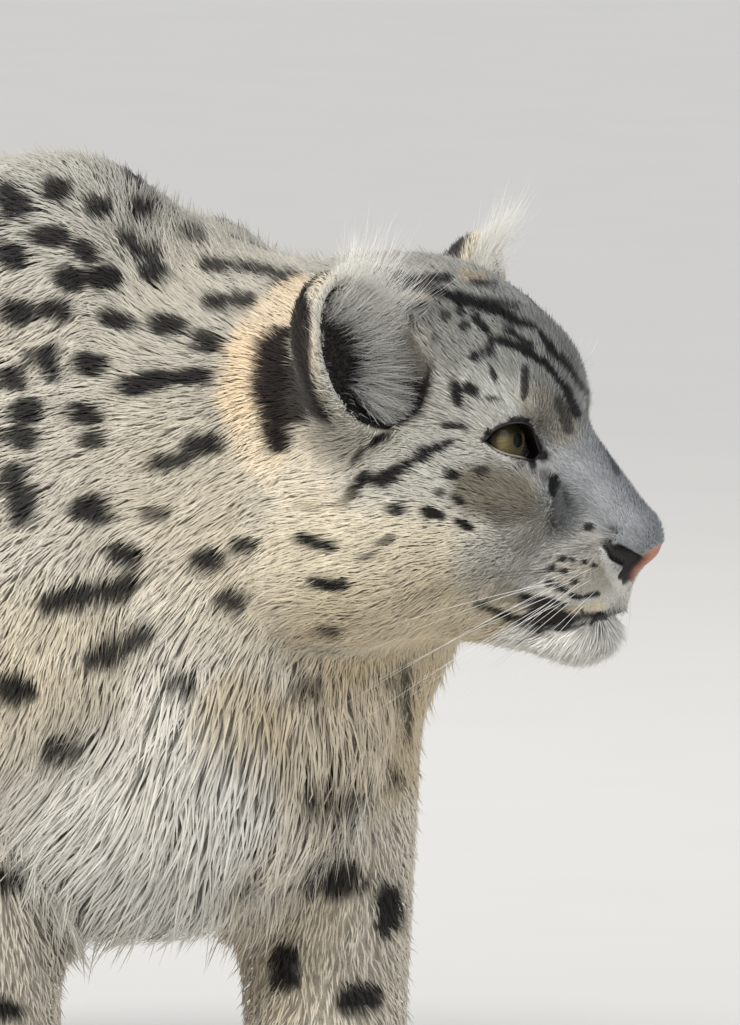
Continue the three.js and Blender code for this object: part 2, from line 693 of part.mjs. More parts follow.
// A flat, tapered lock that leaves its root along the coat's lie and droops at its tip.
function lock(root, normal, lie, [length, width], draw) {
  const lean = THREE.MathUtils.clamp(dot(lie, normal), ...LOCK.lean) - dot(lie, normal);
  const way = unit(along(along(lie, normal, lean), [draw(), draw(), draw()], LOCK.spread));
  const long = length * (1 + LOCK.vary * draw());
  const start = along(along(root, normal, -LOCK.sink), way, -LOCK.sink);
  const middle = lowered(coreField, along(along(root, way, long * LOCK.bend), normal, LOCK.lift), LOCK.lift);
  const end = lowered(coreField, along(along(root, way, long), [0, 0, -1], LOCK.droop), LOCK.rise);
  const curve = new THREE.QuadraticBezierCurve3(...[start, middle, end].map((p) => new THREE.Vector3(...p)));
  const level = unit(cross(way, normal));
  const side = unit(along(level, cross(way, level), LOCK.roll * draw()));
  const points = [];
  LOCK.stages.forEach((stage, i) => {
    const centre = curve.getPoint(stage).toArray();
    const thin = unit(cross(side, curve.getTangent(stage).toArray()));
    const half = (width / 2) * LOCK.taper[i];
    const corners = [along(centre, side, half), along(centre, thin, half * LOCK.flatness)];
    const others = [along(centre, side, -half), along(centre, thin, -half * LOCK.flatness)];
    points.push(...corners.flat(), ...others.flat());
  });
  points.push(...end);
  const faces = [0, 2, 1, 0, 3, 2];
  const tip = 4 * LOCK.stages.length;
  for (let ring = 0; ring < tip; ring += 4)
    for (let i = 0; i < 4; i++) {
      const [a, b] = [ring + i, ring + ((i + 1) % 4)];
      if (ring + 4 === tip) faces.push(a, b, tip);
      else faces.push(a, b, b + 4, a, b + 4, a + 4);
    }
  const geometry = new THREE.BufferGeometry()
    .setAttribute("position", new THREE.Float32BufferAttribute(points, 3))
    .setIndex(faces);
  const solid = solidOf(geometry);
  return solid.volume() > 0 ? solid : solidOf(geometry.setIndex(faces.toReversed()));
}

// Adds a row of locks that fans out from a point inside the trunk.
function addRow(solid, row, draw) {
  let result = solid;
  for (let i = 0; i < row.count; i++) {
    const share = i / (row.count - 1);
    const yaw = radians(lerp(...row.turns, share) + LOCK.scatter * draw());
    const bow = row.tilts[0] === row.tilts[1] ? 0 : 1 - Math.abs(2 * share - 1);
    const tilt = radians(lerp(...row.tilts, bow) + LOCK.scatter * draw());
    const way = [Math.cos(tilt) * Math.cos(yaw), Math.cos(tilt) * Math.sin(yaw), Math.sin(tilt)];
    const from = along(row.from, [draw(), 0, 0], LOCK.stagger);
    const root = surfaceOf(coreField, from, way);
    result = result.add(lock(root, normalOf(coreField, root), unit(row.lie), row.size, draw));
  }
  return result;
}

// The groove between the lips, from just past the middle to one corner of the mouth.
function mouthGroove(side) {
  const points = MOUTH_LINE.map(([x, y, z]) => {
    const target = [x, y === 0 ? -side * MOUTH_GROOVE : side * y, z];
    const inside = [x * 0.3, 0, z];
    return new THREE.Vector3(...fromHead(surfaceOf(skullField, inside, unit(sub(target, inside)))));
  });
  const round = new THREE.Shape().absarc(0, 0, MOUTH_GROOVE, 0, 2 * Math.PI);
  const extrudePath = new THREE.CatmullRomCurve3(points);
  return solidOf(new THREE.ExtrudeGeometry(round, { extrudePath, ...GROOVE_STEPS }));
}

// One length of the tail beyond the root, as rings of points closed by a fan at each end.
function tailSolid(number) {
  const first = TAIL_CUTS[number];
  const last = TAIL_CUTS[number + 1] ?? TAIL_LINE.length - 1;
  const tip = last === TAIL_LINE.length - 1;
  const rings = lines(first, last, 1 / TAIL_STEPS).map((place) => {
    const [, x, y, z, radius] = stationAt(tailRows, place);
    const ahead = stationAt(tailRows, Math.min(place + 0.05, TAIL_LINE.length - 1)).slice(1, 4);
    const behind = stationAt(tailRows, place - 0.05).slice(1, 4);
    return { centre: [x, y, z], radius, way: unit(sub(ahead, behind)) };
  });
  rings[0].centre = along(rings[0].centre, rings[0].way, GAP);
  if (tip) {
    const end = rings.at(-1);
    for (const [forward, share] of TAIL_TIP) {
      const centre = along(end.centre, end.way, forward * end.radius);
      rings.push({ ...end, centre, radius: share * end.radius });
    }
  }
  return ringTube(rings, TAIL_SIDES);
}

// A closed tube through rings that each have a centre, a radius and a way forward.
function ringTube(rings, sides) {
  const points = [];
  const faces = [];
  for (const { centre, radius, way } of rings) {
    const across = unit(cross(way, [0, 1, 0]));
    const up = cross(way, across);
    for (let i = 0; i < sides; i++) {
      const angle = (2 * Math.PI * i) / sides;
      points.push(...along(along(centre, across, radius * Math.cos(angle)), up, radius * Math.sin(angle)));
    }
  }
  for (let ring = 0; ring < rings.length - 1; ring++)
    for (let i = 0; i < sides; i++) {
      const [a, b] = [ring * sides + i, ring * sides + ((i + 1) % sides)];
      faces.push(a, b, b + sides, a, b + sides, a + sides);
    }
  const lastRing = (rings.length - 1) * sides;
  for (let i = 1; i < sides - 1; i++) faces.push(0, i + 1, i, lastRing, lastRing + i, lastRing + i + 1);
  return solidOf(
    new THREE.BufferGeometry()
      .setAttribute("position", new THREE.Float32BufferAttribute(points, 3))
      .setIndex(faces),
  );
}
// The part of a leg between two heights.
function legSolid(kind, region, side, heights) {
  const { x, z, step } = LEG_GRIDS[kind];
  const [low, high] = [side * LEG_SPAN[0], side * LEG_SPAN[1]].map((y) => -y).toSorted((a, b) => a - b);
  const cuts = [
    [[0, 0, heights[0]], [0, 0, 1]],
    [[0, 0, heights[1]], [0, 0, -1]],
  ];
  return largest(bodyPiece({ low: [x[0], low, z[0]], high: [x[1], high, z[1]], step }, [...region, ...cuts]));
}

// Assembly
const COLOURS = {
  coat: new THREE.MeshStandardMaterial({ color: 0xb9b3a8, roughness: 0.9, metalness: 0 }),
  eye: new THREE.MeshStandardMaterial({ color: 0x8c8a5a, roughness: 0.1, metalness: 0 }),
};
const group = new THREE.Group();
function place(name, solid, material = COLOURS.coat) {
  const mesh = new THREE.Mesh(geometryOf(solid), material);
  mesh.name = name;
  group.add(mesh);
}

place("torso", torsoSolid());
place("neck", neckSolid());
place("head", headSolid());
place("tail_1", largest(bodyPiece(TAIL_GRID, TAIL_ROOT_REGION)));
TAIL_CUTS.forEach((_, number) => place(`tail_${number + 2}`, tailSolid(number)));
for (const [word, side] of [["right", -1], ["left", 1]]) {
  place(`ear_${word}`, earSolid(side));
  place(`eye_${word}`, eyeBall(EYE_RADIUS, side), COLOURS.eye);
  const fore = LEG_REGIONS[`foreleg_${word}`];
  place(`foreleg_${word}`, legSolid("foreleg", fore, side, [WRIST, ABOVE]));
  place(`forepaw_${word}`, onFloor(legSolid("forepaw", fore, side, [BELOW, WRIST])));
  const hind = LEG_REGIONS[`hindleg_${word}`];
  place(`thigh_${word}`, legSolid("thigh", hind, side, [KNEE, ABOVE]));
  place(`shank_${word}`, legSolid("shank", hind, side, [ANKLE, KNEE]));
  place(`hindpaw_${word}`, onFloor(legSolid("hindpaw", hind, side, [BELOW, ANKLE])));
}

// The part stands in the middle of its own box.
const bounds = new THREE.Box3().setFromObject(group);
for (const mesh of group.children)
  mesh.geometry.translate(-(bounds.min.x + bounds.max.x) / 2, -(bounds.min.y + bounds.max.y) / 2, 0);

export default group;
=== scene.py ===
"""A life-size snow leopard: one skin, its coat in tufts, eyes, lids, nose, whiskers and ears."""
import math
from itertools import product

import bpy
import numpy as np
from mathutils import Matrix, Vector
from mathutils.kdtree import KDTree


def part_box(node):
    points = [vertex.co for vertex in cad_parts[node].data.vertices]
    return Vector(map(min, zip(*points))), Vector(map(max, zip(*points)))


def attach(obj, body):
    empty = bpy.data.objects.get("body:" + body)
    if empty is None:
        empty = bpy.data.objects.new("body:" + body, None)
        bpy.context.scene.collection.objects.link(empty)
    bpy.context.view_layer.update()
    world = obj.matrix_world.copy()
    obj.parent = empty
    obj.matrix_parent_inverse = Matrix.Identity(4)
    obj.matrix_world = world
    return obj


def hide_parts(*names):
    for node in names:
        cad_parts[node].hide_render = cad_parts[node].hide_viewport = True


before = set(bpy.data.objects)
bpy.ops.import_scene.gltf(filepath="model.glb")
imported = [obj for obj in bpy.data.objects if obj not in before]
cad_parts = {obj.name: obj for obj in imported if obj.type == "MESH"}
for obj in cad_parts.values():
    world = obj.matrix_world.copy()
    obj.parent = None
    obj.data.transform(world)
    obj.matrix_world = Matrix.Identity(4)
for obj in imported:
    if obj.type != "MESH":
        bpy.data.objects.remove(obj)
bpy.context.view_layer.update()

# Units and random draws
MM = 0.001
DRAW = np.random.default_rng(11)


def unit(v):
    v = np.asarray(v, float)
    return v / np.maximum(np.linalg.norm(v, axis=-1, keepdims=True), 1e-9)


def lerp(a, b, t):
    return a + (b - a) * t


def ramp(value, low, high):
    """0 below low, 1 above high and a smooth curve between."""
    t = np.clip((value - low) / (high - low), 0, 1)
    return t * t * (3 - 2 * t)


def srgb(*levels):
    """A colour given by its 0 to 255 levels, as linear light."""
    c = np.array(levels, float) / 255
    return np.where(c <= 0.04045, c / 12.92, ((c + 0.055) / 1.055) ** 2.4)


# The head's own frame lies between the eyes
HEAD_AT = np.array([275.0, 66.0, 501.0])
HEAD_YAW = math.radians(25)
HEAD_ROLL = math.radians(2)
SIDES = (-1, 1)
EYE_RADIUS = 16.5
EYE = np.array([-14.0, 32.0, 0.0])
EYE_OUT = math.radians(30)
EYE_RISE = 0.06
LID = 1.9


def head_axes():
    cy, sy = math.cos(HEAD_YAW), math.sin(HEAD_YAW)
    cr, sr = math.cos(HEAD_ROLL), math.sin(HEAD_ROLL)
    return np.array([[cy, sy, 0], [-sy * cr, cy * cr, sr], [sy * sr, -cy * sr, cr]])


HEAD_AXES = head_axes()


def to_head(points):
    return (points - HEAD_AT) @ HEAD_AXES.T


def from_head(points):
    return np.asarray(points, float) @ HEAD_AXES + HEAD_AT


def turn_from_head(vectors):
    return np.asarray(vectors, float) @ HEAD_AXES


def folded(local):
    """Places in the head's frame, with its right half laid on its left."""
    return local * [1, 0, 1] + np.abs(local) * [0, 1, 0]


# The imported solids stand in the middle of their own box, so an eye tells how far they were moved
eye_low, eye_high = (np.array(corner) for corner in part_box("eye_right"))
SHIFT = (eye_low + eye_high) / 2 - from_head(EYE * [1, -1, 1]) * MM
SHIFT[2] = 0


def placed(points):
    return np.asarray(points, float) * MM + SHIFT


# The photograph's camera: the place of one point in space and in the picture, which is 740 by 1025
PHOTO_SIZE = (740, 1025)
PHOTO_TURN = math.radians(50)
PHOTO_RISE = math.radians(6)
PHOTO_DISTANCE = 8000
PHOTO_SCALE = 1.8
PHOTO_POINT = np.array([290.2, 33.4, 499.0])
PHOTO_PIXEL = (515, 443)
RIGHT = np.array([math.cos(PHOTO_TURN), math.sin(PHOTO_TURN), 0])
BACK = np.array([
    math.sin(PHOTO_TURN) * math.cos(PHOTO_RISE),
    -math.cos(PHOTO_TURN) * math.cos(PHOTO_RISE),
    math.sin(PHOTO_RISE),
])
UP = np.cross(BACK, RIGHT)


def across_picture(u, v):
    """A pixel's place across the plane of the picture, in millimetres from its middle."""
    right = (np.asarray(u, float) - PHOTO_SIZE[0] / 2) / PHOTO_SCALE
    up = (PHOTO_SIZE[1] / 2 - np.asarray(v, float)) / PHOTO_SCALE
    return right[..., None] * RIGHT + up[..., None] * UP


PHOTO_MIDDLE = PHOTO_POINT - across_picture(*PHOTO_PIXEL)
CAMERA_AT = PHOTO_MIDDLE + BACK * PHOTO_DISTANCE


def pixel_of(points):
    q = points - PHOTO_MIDDLE
    grow = PHOTO_SCALE * PHOTO_DISTANCE / (PHOTO_DISTANCE - q @ BACK)
    return PHOTO_SIZE[0] / 2 + q @ RIGHT * grow, PHOTO_SIZE[1] / 2 - q @ UP * grow


# How the coat grows on each form: its depth, a tuft's length for each millimetre of it, a tuft's width, their
# spacing, the tones above and below, and the lie
BACK_GREY = srgb(162, 161, 155)
NECK_GREY = srgb(190, 185, 172)
FLANK = srgb(202, 198, 186)
CREAM = srgb(231, 218, 192)
WHITE = srgb(241, 237, 227)
HEAD_GREY = srgb(142, 143, 141)
COOL = srgb(147, 149, 151)
PALE = srgb(204, 202, 194)
WARM = srgb(234, 223, 199)
COAT = {
    "trunk": (15, 1.6, 1.7, 3.45, BACK_GREY, WHITE, None),
    "neck": (11, 1.6, 0.95, 1.55, NECK_GREY, CREAM, (-0.8, 0, -0.7)),
    "blade": (11, 1.6, 1.05, 1.75, FLANK, CREAM, (-0.5, 0, -0.85)),
    "crest": (9, 1.6, 1.05, 1.75, BACK_GREY, FLANK, (-0.9, 0, -0.3)),
    "arm": (11, 1.6, 1.1, 1.85, FLANK, CREAM, (-0.2, 0, -1)),
    "forearm": (8, 1.7, 1.2, 2.9, PALE, CREAM, (-0.1, 0, -1)),
    "pastern": (7, 1.7, 1.2, 3.1, PALE, CREAM, (0.1, 0, -1)),
    "thigh": (15, 1.7, 1.8, 3.1, FLANK, CREAM, (-0.5, 0, -0.9)),
    "shank": (9, 1.7, 1.5, 3.6, FLANK, CREAM, (-0.3, 0, -1)),
    "hock": (7, 1.7, 1.3, 3.3, PALE, CREAM, (0.1, 0, -1)),
    "paw": (5, 1.6, 1.1, 2.3, PALE, CREAM, (0.85, 0, -0.5)),
    "tail": (17, 1.7, 1.8, 3.3, FLANK, WHITE, "along"),
    "cranium": (4.5, 1.5, 0.7, 1.05, HEAD_GREY, HEAD_GREY, None),
    "forehead": (3, 1.5, 0.6, 0.95, HEAD_GREY, HEAD_GREY, None),
    "nape": (10, 1.7, 1.0, 1.6, HEAD_GREY, FLANK, None),
    "nose_tip": (1.2, 1.9, 0.5, 0.9, COOL, COOL, None),
    "nose_bridge": (1.9, 1.7, 0.5, 0.9, COOL, COOL, None),
    "muzzle": (2.4, 1.6, 0.55, 0.9, COOL, PALE, None),
    "jaw": (7, 1.7, 0.75, 1.15, WHITE, WARM, None),
    "chin": (5.5, 2.1, 0.65, 1.05, WHITE, WHITE, None),
    "brow": (3, 1.5, 0.6, 0.95, PALE, PALE, None),
    "cheekbone": (3.4, 1.5, 0.6, 0.95, PALE, PALE, None),
    "lip_pad": (2.2, 1.6, 0.5, 0.9, PALE, PALE, None),
    "cheek": (6, 1.5, 0.75, 1.1, PALE, WARM, None),
    "ruff": (10, 1.55, 0.9, 1.4, PALE, WARM, None),
    "ear": (4, 2.2, 0.6, 1.4, WARM, WARM, "along"),
}

# A ball is [name, centre, radii, blend] and a limb is [name, start, end, radii, radii, blend]
HEAD_BALLS = [
    ("cranium", (-62, 0, 30), (66, 58, 60), 20),
    ("forehead", (-17, 0, 27), (41, 42, 39), 20),
    ("nape", (-116, 0, 14), (54, 66, 60), 30),
    ("nose_tip", (54, 0, -60), (16, 16, 13), 8),
    ("chin", (27, 0, -112), (22, 23, 17), 14),
]
HEAD_LIMBS = [
    ("nose_bridge", (6, 0, -5), (56, 0, -50), (22, 24), (16, 13), 16),
    ("muzzle", (-12, 0, -60), (34, 0, -74), (42, 36), (33, 22), 18),
    ("jaw", (14, 0, -106), (-70, 0, -80), (26, 20), (54, 34), 18),
]
HEAD_PAIRS = [
    ("brow", (-8, 29, 17), (22, 17, 12), 16),
    ("cheekbone", (-6, 36, -34), (30, 20, 24), 20),
    ("lip_pad", (31, 18, -81), (26, 22, 19), 14),
    ("cheek", (-42, 42, -44), (46, 34, 46), 24),
    ("ruff", (-92, 50, -60), (50, 41, 54), 30),
]
EAR = {
    "base": (-74, 70, 35),
    "stands": (-0.16, 0.6, 0.78),
    "opens": (0.93, 0.2, 0.1),
    "outside": (54, 38, 26),
    "hollow": (46, 31, 28),
    "rise": 20,
    "shift": 12,
    "blend": 14,
    "lining": 1.5,
}
# Stations along the trunk, out to the tips of the coat: x, half width, top, bottom
TRUNK = np.array([
    (-585, 116, 602, 356),
    (-510, 136, 611, 304),
    (-420, 150, 604, 264),
    (-320, 160, 596, 238),
    (-210, 160, 593, 216),
    (-110, 150, 602, 198),
    (-20, 136, 602, 190),
    (55, 118, 588, 198),
    (105, 92, 560, 232),
], float)
TRUNK_CAPS = (72, 76)
TRUNK_NARROW = 0.13
TRUNK_MIDDLE = np.array([-240.0, 0, 400])
TRUNK_REACH = 540
TRUNK_BLEND = 40
FRINGE_DEPTH = 26
HEAD_BLEND = 40
NECK = [
    ("neck", (20, -4, 470), (110, 8, 481), (112, 127), (98, 112)),
    ("neck", (110, 8, 481), (190, 26, 498), (98, 112), (84, 94)),
]
FORELEG_RIGHT = [
    ("blade", (34, -94, 410), (-20, -56, 590), (60, 78), (42, 66)),
    ("arm", (34, -94, 410), (-42, -92, 335), (60, 78), (54, 62)),
    ("forearm", (-42, -92, 335), (-34, -90, 130), (54, 62), (46, 47)),
    ("pastern", (-34, -90, 130), (-20, -90, 60), (46, 47), (46, 45)),
]
FORELEG_LEFT = [
    ("blade", (98, 88, 412), (-20, 58, 549), (56, 72), (42, 58)),
    ("arm", (98, 88, 412), (54, 92, 335), (56, 72), (54, 62)),
    ("forearm", (54, 92, 335), (60, 88, 130), (54, 62), (46, 47)),
    ("pastern", (60, 88, 130), (74, 88, 60), (46, 47), (46, 45)),
]
HINDLEG_RIGHT = [
    ("thigh", (-560, -70, 462), (-492, -96, 338), (76, 118), (58, 82)),
    ("shank", (-492, -96, 338), (-606, -96, 192), (58, 74), (38, 42)),
    ("hock", (-606, -96, 192), (-572, -96, 60), (38, 42), (42, 44)),
]
HINDLEG_LEFT = [
    ("thigh", (-572, 70, 462), (-528, 96, 335), (76, 118), (58, 82)),
    ("shank", (-528, 96, 335), (-684, 96, 198), (58, 74), (38, 42)),
    ("hock", (-684, 96, 198), (-658, 96, 60), (38, 42), (42, 44)),
]
CREST = [("crest", (6, -54, 584), (-84, -50, 580), (40, 44), (40, 42))]
CREST_BLEND = 70
CHAIN_BLENDS = [(NECK, 50)]
CHAIN_BLENDS += [(leg, 40) for leg in (FORELEG_RIGHT, FORELEG_LEFT, HINDLEG_RIGHT, HINDLEG_LEFT)]
PAWS = [
    ((2, -90), 128, 104, 66),
    ((96, 88), 128, 104, 66),
    ((-548, -96), 122, 96, 60),
    ((-633, 96), 122, 96, 60),
]
# A paw's pad and toes, as shares of its length, width and height, and each toe's places across and forward
PAW_PAD = {"back": 0.06, "rise": 0.36, "size": (0.4, 0.46, 0.6), "blend": 20}
PAW_TOES = {
    "places": ((-0.36, 0.2), (-0.13, 0.31), (0.13, 0.31), (0.36, 0.2)),
    "rise": 0.3,
    "size": (0.2, 0.16, 0.4),
    "blend": 9,
}
TAIL_LINE = [
    (-610, 0, 500),
    (-680, 0, 496),
    (-752, 0, 445),
    (-806, 4, 350),
    (-846, 14, 245),
    (-898, 30, 155),
    (-970, 54, 104),
    (-1060, 84, 90),
    (-1146, 118, 108),
    (-1210, 152, 156),
    (-1246, 182, 220),
]
TAIL_RADII = (60, 56, 52, 52, 54, 56, 57, 57, 56, 52, 36)
TAIL_STEPS = 3
TAIL_BLEND = 30


# Distances to the forms
def shell_distance(offset, axes, radii):
    """The distance to an ellipsoid, measured along the line to its centre."""
    length = np.maximum(np.linalg.norm(offset, axis=1), 1e-3)
    share = np.linalg.norm(offset @ axes.T / radii, axis=1)
    return length * (1 - 1 / np.maximum(share, 1e-4))


class Ball:
    def __init__(self, name, centre, radii, blend, axes=np.eye(3)):
        self.name, self.blend = name, blend
        self.centre, self.radii, self.axes = np.array(centre, float), np.array(radii, float), axes
        self.middle, self.reach = self.centre, max(radii)
        self.lie = np.zeros(3)

    def distance(self, points):
        return shell_distance(points - self.centre, self.axes, self.radii)


class Limb:
    def __init__(self, name, start, end, start_radii, end_radii, blend=0):
        self.name, self.blend = name, blend
        self.start = np.array(start, float)
        self.length = float(np.linalg.norm(np.array(end) - self.start))
        self.axis = unit(np.array(end) - self.start)
        side = unit(np.array([0, 1, 0]) - self.axis * self.axis[1])
        self.axes = np.array([side, np.cross(self.axis, side), self.axis])
        self.radii = np.array([start_radii, end_radii], float)
        self.middle = self.start + self.axis * self.length / 2
        self.reach = self.length / 2 + self.radii.max()
        self.lie = self.axis

    def distance(self, points):
        t = np.clip((points - self.start) @ self.axis / self.length, 0, 1)
        across = self.radii[0] + t[:, None] * (self.radii[1] - self.radii[0])
        radii = np.column_stack([across, across.min(1)])
        nearest = self.start + (t * self.length)[:, None] * self.axis
        return shell_distance(points - nearest, self.axes, radii)


def station_at(rows, place):
    """The values at places along rows that start with their own place, by a smooth curve."""
    last = len(rows) - 1
    i = np.clip(np.searchsorted(rows[:, 0], place, "right") - 1, 0, last - 1)
    share = ((place - rows[i, 0]) / (rows[i + 1, 0] - rows[i, 0]))[:, None]
    a, b, c, d = (rows[np.clip(i + n, 0, last)] for n in (-1, 0, 1, 2))
    bend = 2 * a - 5 * b + 4 * c - d + share * (3 * (b - c) + d - a)
    return b + 0.5 * share * (c - a + share * bend)


class Trunk:
    name, blend, lie = "trunk", TRUNK_BLEND, np.zeros(3)
    middle, reach = TRUNK_MIDDLE, TRUNK_REACH

    def distance(self, points):
        x, y, z = points.T
        place = np.clip(x, TRUNK[0, 0], TRUNK[-1, 0] - 1e-3)
        _, half, top, bottom = station_at(TRUNK, place).T
        tall = (top - bottom) / 2
        height = z - (top + bottom) / 2
        wide = half * (1 - TRUNK_NARROW * np.clip(height / tall, -1, 1))
        cap = np.where(x > place, *TRUNK_CAPS)
        offset = np.column_stack([x - place, y, height])
        return shell_distance(offset, np.eye(3), np.column_stack([cap, wide, tall]))


def mirrored(centre):
    return (centre[0], -centre[1], centre[2])


def ear_frame(side):
    """An ear's axes, which are its height, its width and the way it opens, and its middle."""
    up = unit(np.array(EAR["stands"]) * [1, side, 1])
    opens = np.array(EAR["opens"]) * [1, side, 1]
    opens = unit(opens - up * (opens @ up))
    centre = np.array(EAR["base"]) * [1, side, 1] + up * EAR["rise"]
    return np.array([up, np.cross(opens, up), opens]), centre


def ear_forms():
    forms = []
    for side in SIDES:
        axes, centre = ear_frame(side)
        ear = Ball("ear", centre, EAR["outside"], EAR["blend"], axes)
        ear.lie = turn_from_head(axes[0])
        forms.append(ear)
    return forms


def paw_forms(at, length, width, height):
    x, y = at
    whole = np.array([length, width, height])
    centre = (x - PAW_PAD["back"] * length, y, height * PAW_PAD["rise"])
    forms = [Ball("paw", centre, whole * PAW_PAD["size"], PAW_PAD["blend"])]
    for across, forward in PAW_TOES["places"]:
        centre = (x + forward * length, y + across * width, height * PAW_TOES["rise"])
        forms.append(Ball("paw", centre, whole * PAW_TOES["size"], PAW_TOES["blend"]))
    return forms


def tail_forms():
    stations = enumerate(zip(TAIL_LINE, TAIL_RADII))
    rows = np.array([(i, *point, radius) for i, (point, radius) in stations], float)
    last = len(TAIL_LINE) - 1
    rings = station_at(rows, np.linspace(0, last, last * TAIL_STEPS + 1))
    return [Limb("tail", a[1:4], b[1:4], (a[4], a[4]), (b[4], b[4])) for a, b in zip(rings[:-1], rings[1:])]


# A group is [blend, forms], and forms of one group meet with no blend between them
HEAD_FORMS = [Ball(*row) for row in HEAD_BALLS] + [Limb(*row) for row in HEAD_LIMBS]
for name, centre, radii, blend in HEAD_PAIRS:
    HEAD_FORMS += [Ball(name, centre, radii, blend), Ball(name, mirrored(centre), radii, blend)]
HEAD_FORMS += ear_forms()
BODY_GROUPS = [(TRUNK_BLEND, [Trunk()])]
BODY_GROUPS += [(blend, [Limb(*row) for row in rows]) for rows, blend in CHAIN_BLENDS]
BODY_GROUPS.append((CREST_BLEND, [Limb(*row) for row in CREST]))
BODY_GROUPS += [(form.blend, [form]) for row in PAWS for form in paw_forms(*row)]
BODY_GROUPS.append((TAIL_BLEND, tail_forms()))
HEAD_GROUPS = [(form.blend, [form]) for form in HEAD_FORMS]
FORMS = [form for _, group in BODY_GROUPS + HEAD_GROUPS for form in group]
FORM_NAMES = np.array([form.name for form in FORMS])
FIRST_HEAD = len(FORMS) - len(HEAD_FORMS)
MIDDLES = np.array([form.middle for form in FORMS])
MIDDLES[FIRST_HEAD:] = from_head(MIDDLES[FIRST_HEAD:])
REACHES = np.array([form.reach for form in FORMS], float)
DEPTHS = np.array([COAT[form.name][0] for form in FORMS], float)
FRINGE_HEIGHTS = (250, 400)
FAR = 1000.0
NEAR_ENOUGH = 110
BLOCK = 110
CHUNK = 12000


def in_blocks(work, points):
    """Works on points block by block, since only the forms near a block are measured."""
    order = np.lexsort(np.floor(points[:, :3] / BLOCK).T[::-1])
    parts = [work(points[order[i:i + CHUNK]]) for i in range(0, len(order), CHUNK)]
    several = isinstance(parts[0], tuple)
    columns = [np.concatenate(column) for column in (zip(*parts) if several else [parts])]
    results = [np.empty_like(column) for column in columns]
    for result, column in zip(results, columns):
        result[order] = column
    return tuple(results) if several else results[0]


def by_blocks(field):
    return lambda points: in_blocks(field, points)


def distances(points):
    """The distance from each point to each form, one row a form, and FAR for forms well away."""
    low, high = points.min(0), points.max(0)
    spread = np.linalg.norm(high - low) / 2 + NEAR_ENOUGH
    near = np.linalg.norm(MIDDLES - (low + high) / 2, axis=1) < REACHES + spread
    local = to_head(points)
    rows = np.full((len(FORMS), len(points)), FAR)
    for i in np.flatnonzero(near):
        rows[i] = FORMS[i].distance(local if i >= FIRST_HEAD else points)
    return rows


def blend_min(a, b, width):
    h = np.maximum(width - np.abs(a - b), 0) / width
    return np.minimum(a, b) - h * h * width / 4


def blend_groups(groups, rows):
    """Blends the groups' distances in their order."""
    total, first = np.full(rows.shape[1], FAR), 0
    for width, group in groups:
        here = rows[first:first + len(group)].min(0)
        first += len(group)
        if here.min() < FAR:
            total = blend_min(total, here, width)
    return total


def blended(rows):
    body = blend_groups(BODY_GROUPS, rows[:FIRST_HEAD])
    head = blend_groups(HEAD_GROUPS, rows[FIRST_HEAD:])
    return blend_min(body, head, HEAD_BLEND)


def carve(value, hollow, width):
    """Takes a hollow out of a form, with an edge rounded over a width."""
    return -blend_min(-value, hollow, width)


def hollow_distance(local, side):
    axes, centre = ear_frame(side)
    return shell_distance(local - centre - axes[2] * EAR["shift"], axes, np.array(EAR["hollow"], float))


# The groove that cuts the lip back: its ends on the head's left, its radius and the rounding of its edge
LIP_CUT = ([(76, 8, -94), (62.5, 38, -94)], 25, 6)
EAR_EDGE = 3


def trimmed(value, local):
    """Draws the front of the upper lip back under the nose, and rounds it at the sides."""
    ends, radius, width = LIP_CUT
    return carve(value, capsule(folded(local), ends, radius), width)


@by_blocks
def coat_field(points):
    """The distance to the outside of the coat."""
    local = to_head(points)
    value = trimmed(blended(distances(points)), local)
    for side in SIDES:
        value = carve(value, hollow_distance(local, side), EAR_EDGE)
    return np.maximum(value, -points[:, 2])


# The eye's own frame: x to the animal's left, y up and z out of the eye
def eye_frame(side):
    axis = unit([math.cos(EYE_OUT), side * math.sin(EYE_OUT), EYE_RISE])
    up = unit(np.array([0, 0, 1]) - axis * axis[2])
    return np.array([np.cross(up, axis), up, axis]), EYE * [1, side, 1]


# The edges of the lids, from the outer corner of the eye to the inner one
LID_X = (-15.5, -11, -4, 5, 12, 17, 20.5)
UPPER_LID = (1, 6.5, 9.8, 10, 6.2, -1, -9)
LOWER_LID = (1, -3.8, -7.2, -9.6, -11.6, -12, -9)
LID_ROWS = np.column_stack([LID_X, UPPER_LID, LOWER_LID]).astype(float)
LID_FLOOR = 4


def lid_opening(local, side):
    """How far a point in the head's frame lies from the opening between the lids, negative inside."""
    axes, centre = eye_frame(side)
    x, y, z = ((local - centre) @ axes.T).T
    x = -side * x
    _, top, bottom = station_at(LID_ROWS, np.clip(x, LID_X[0], LID_X[-1])).T
    ends = np.maximum(LID_X[0] - x, x - LID_X[-1])
    return np.max([y - top, bottom - y, ends, LID_FLOOR - z], axis=0)


def lids_apart(local):
    """How far a point in the head's frame lies from the opening of either eye."""
    return np.min([lid_opening(local, side) for side in SIDES], axis=0)


def capsule(local, points, radius):
    """The distance to a round groove along points, for a place in the head's frame."""
    best = np.full(len(local), FAR)
    for a, b in zip(points[:-1], points[1:]):
        a, b = np.array(a, float), np.array(b, float)
        t = np.clip((local - a) @ (b - a) / ((b - a) @ (b - a)), 0, 1)
        best = np.minimum(best, np.linalg.norm(local - a - t[:, None] * (b - a), axis=1))
    return best - radius


MOUTH_LINE = np.array([
    (46, 0, -98),
    (41, 13, -99),
    (27, 25, -104),
    (9, 32, -105),
    (-2, 36, -102),
    (-13, 40, -95),
], float)
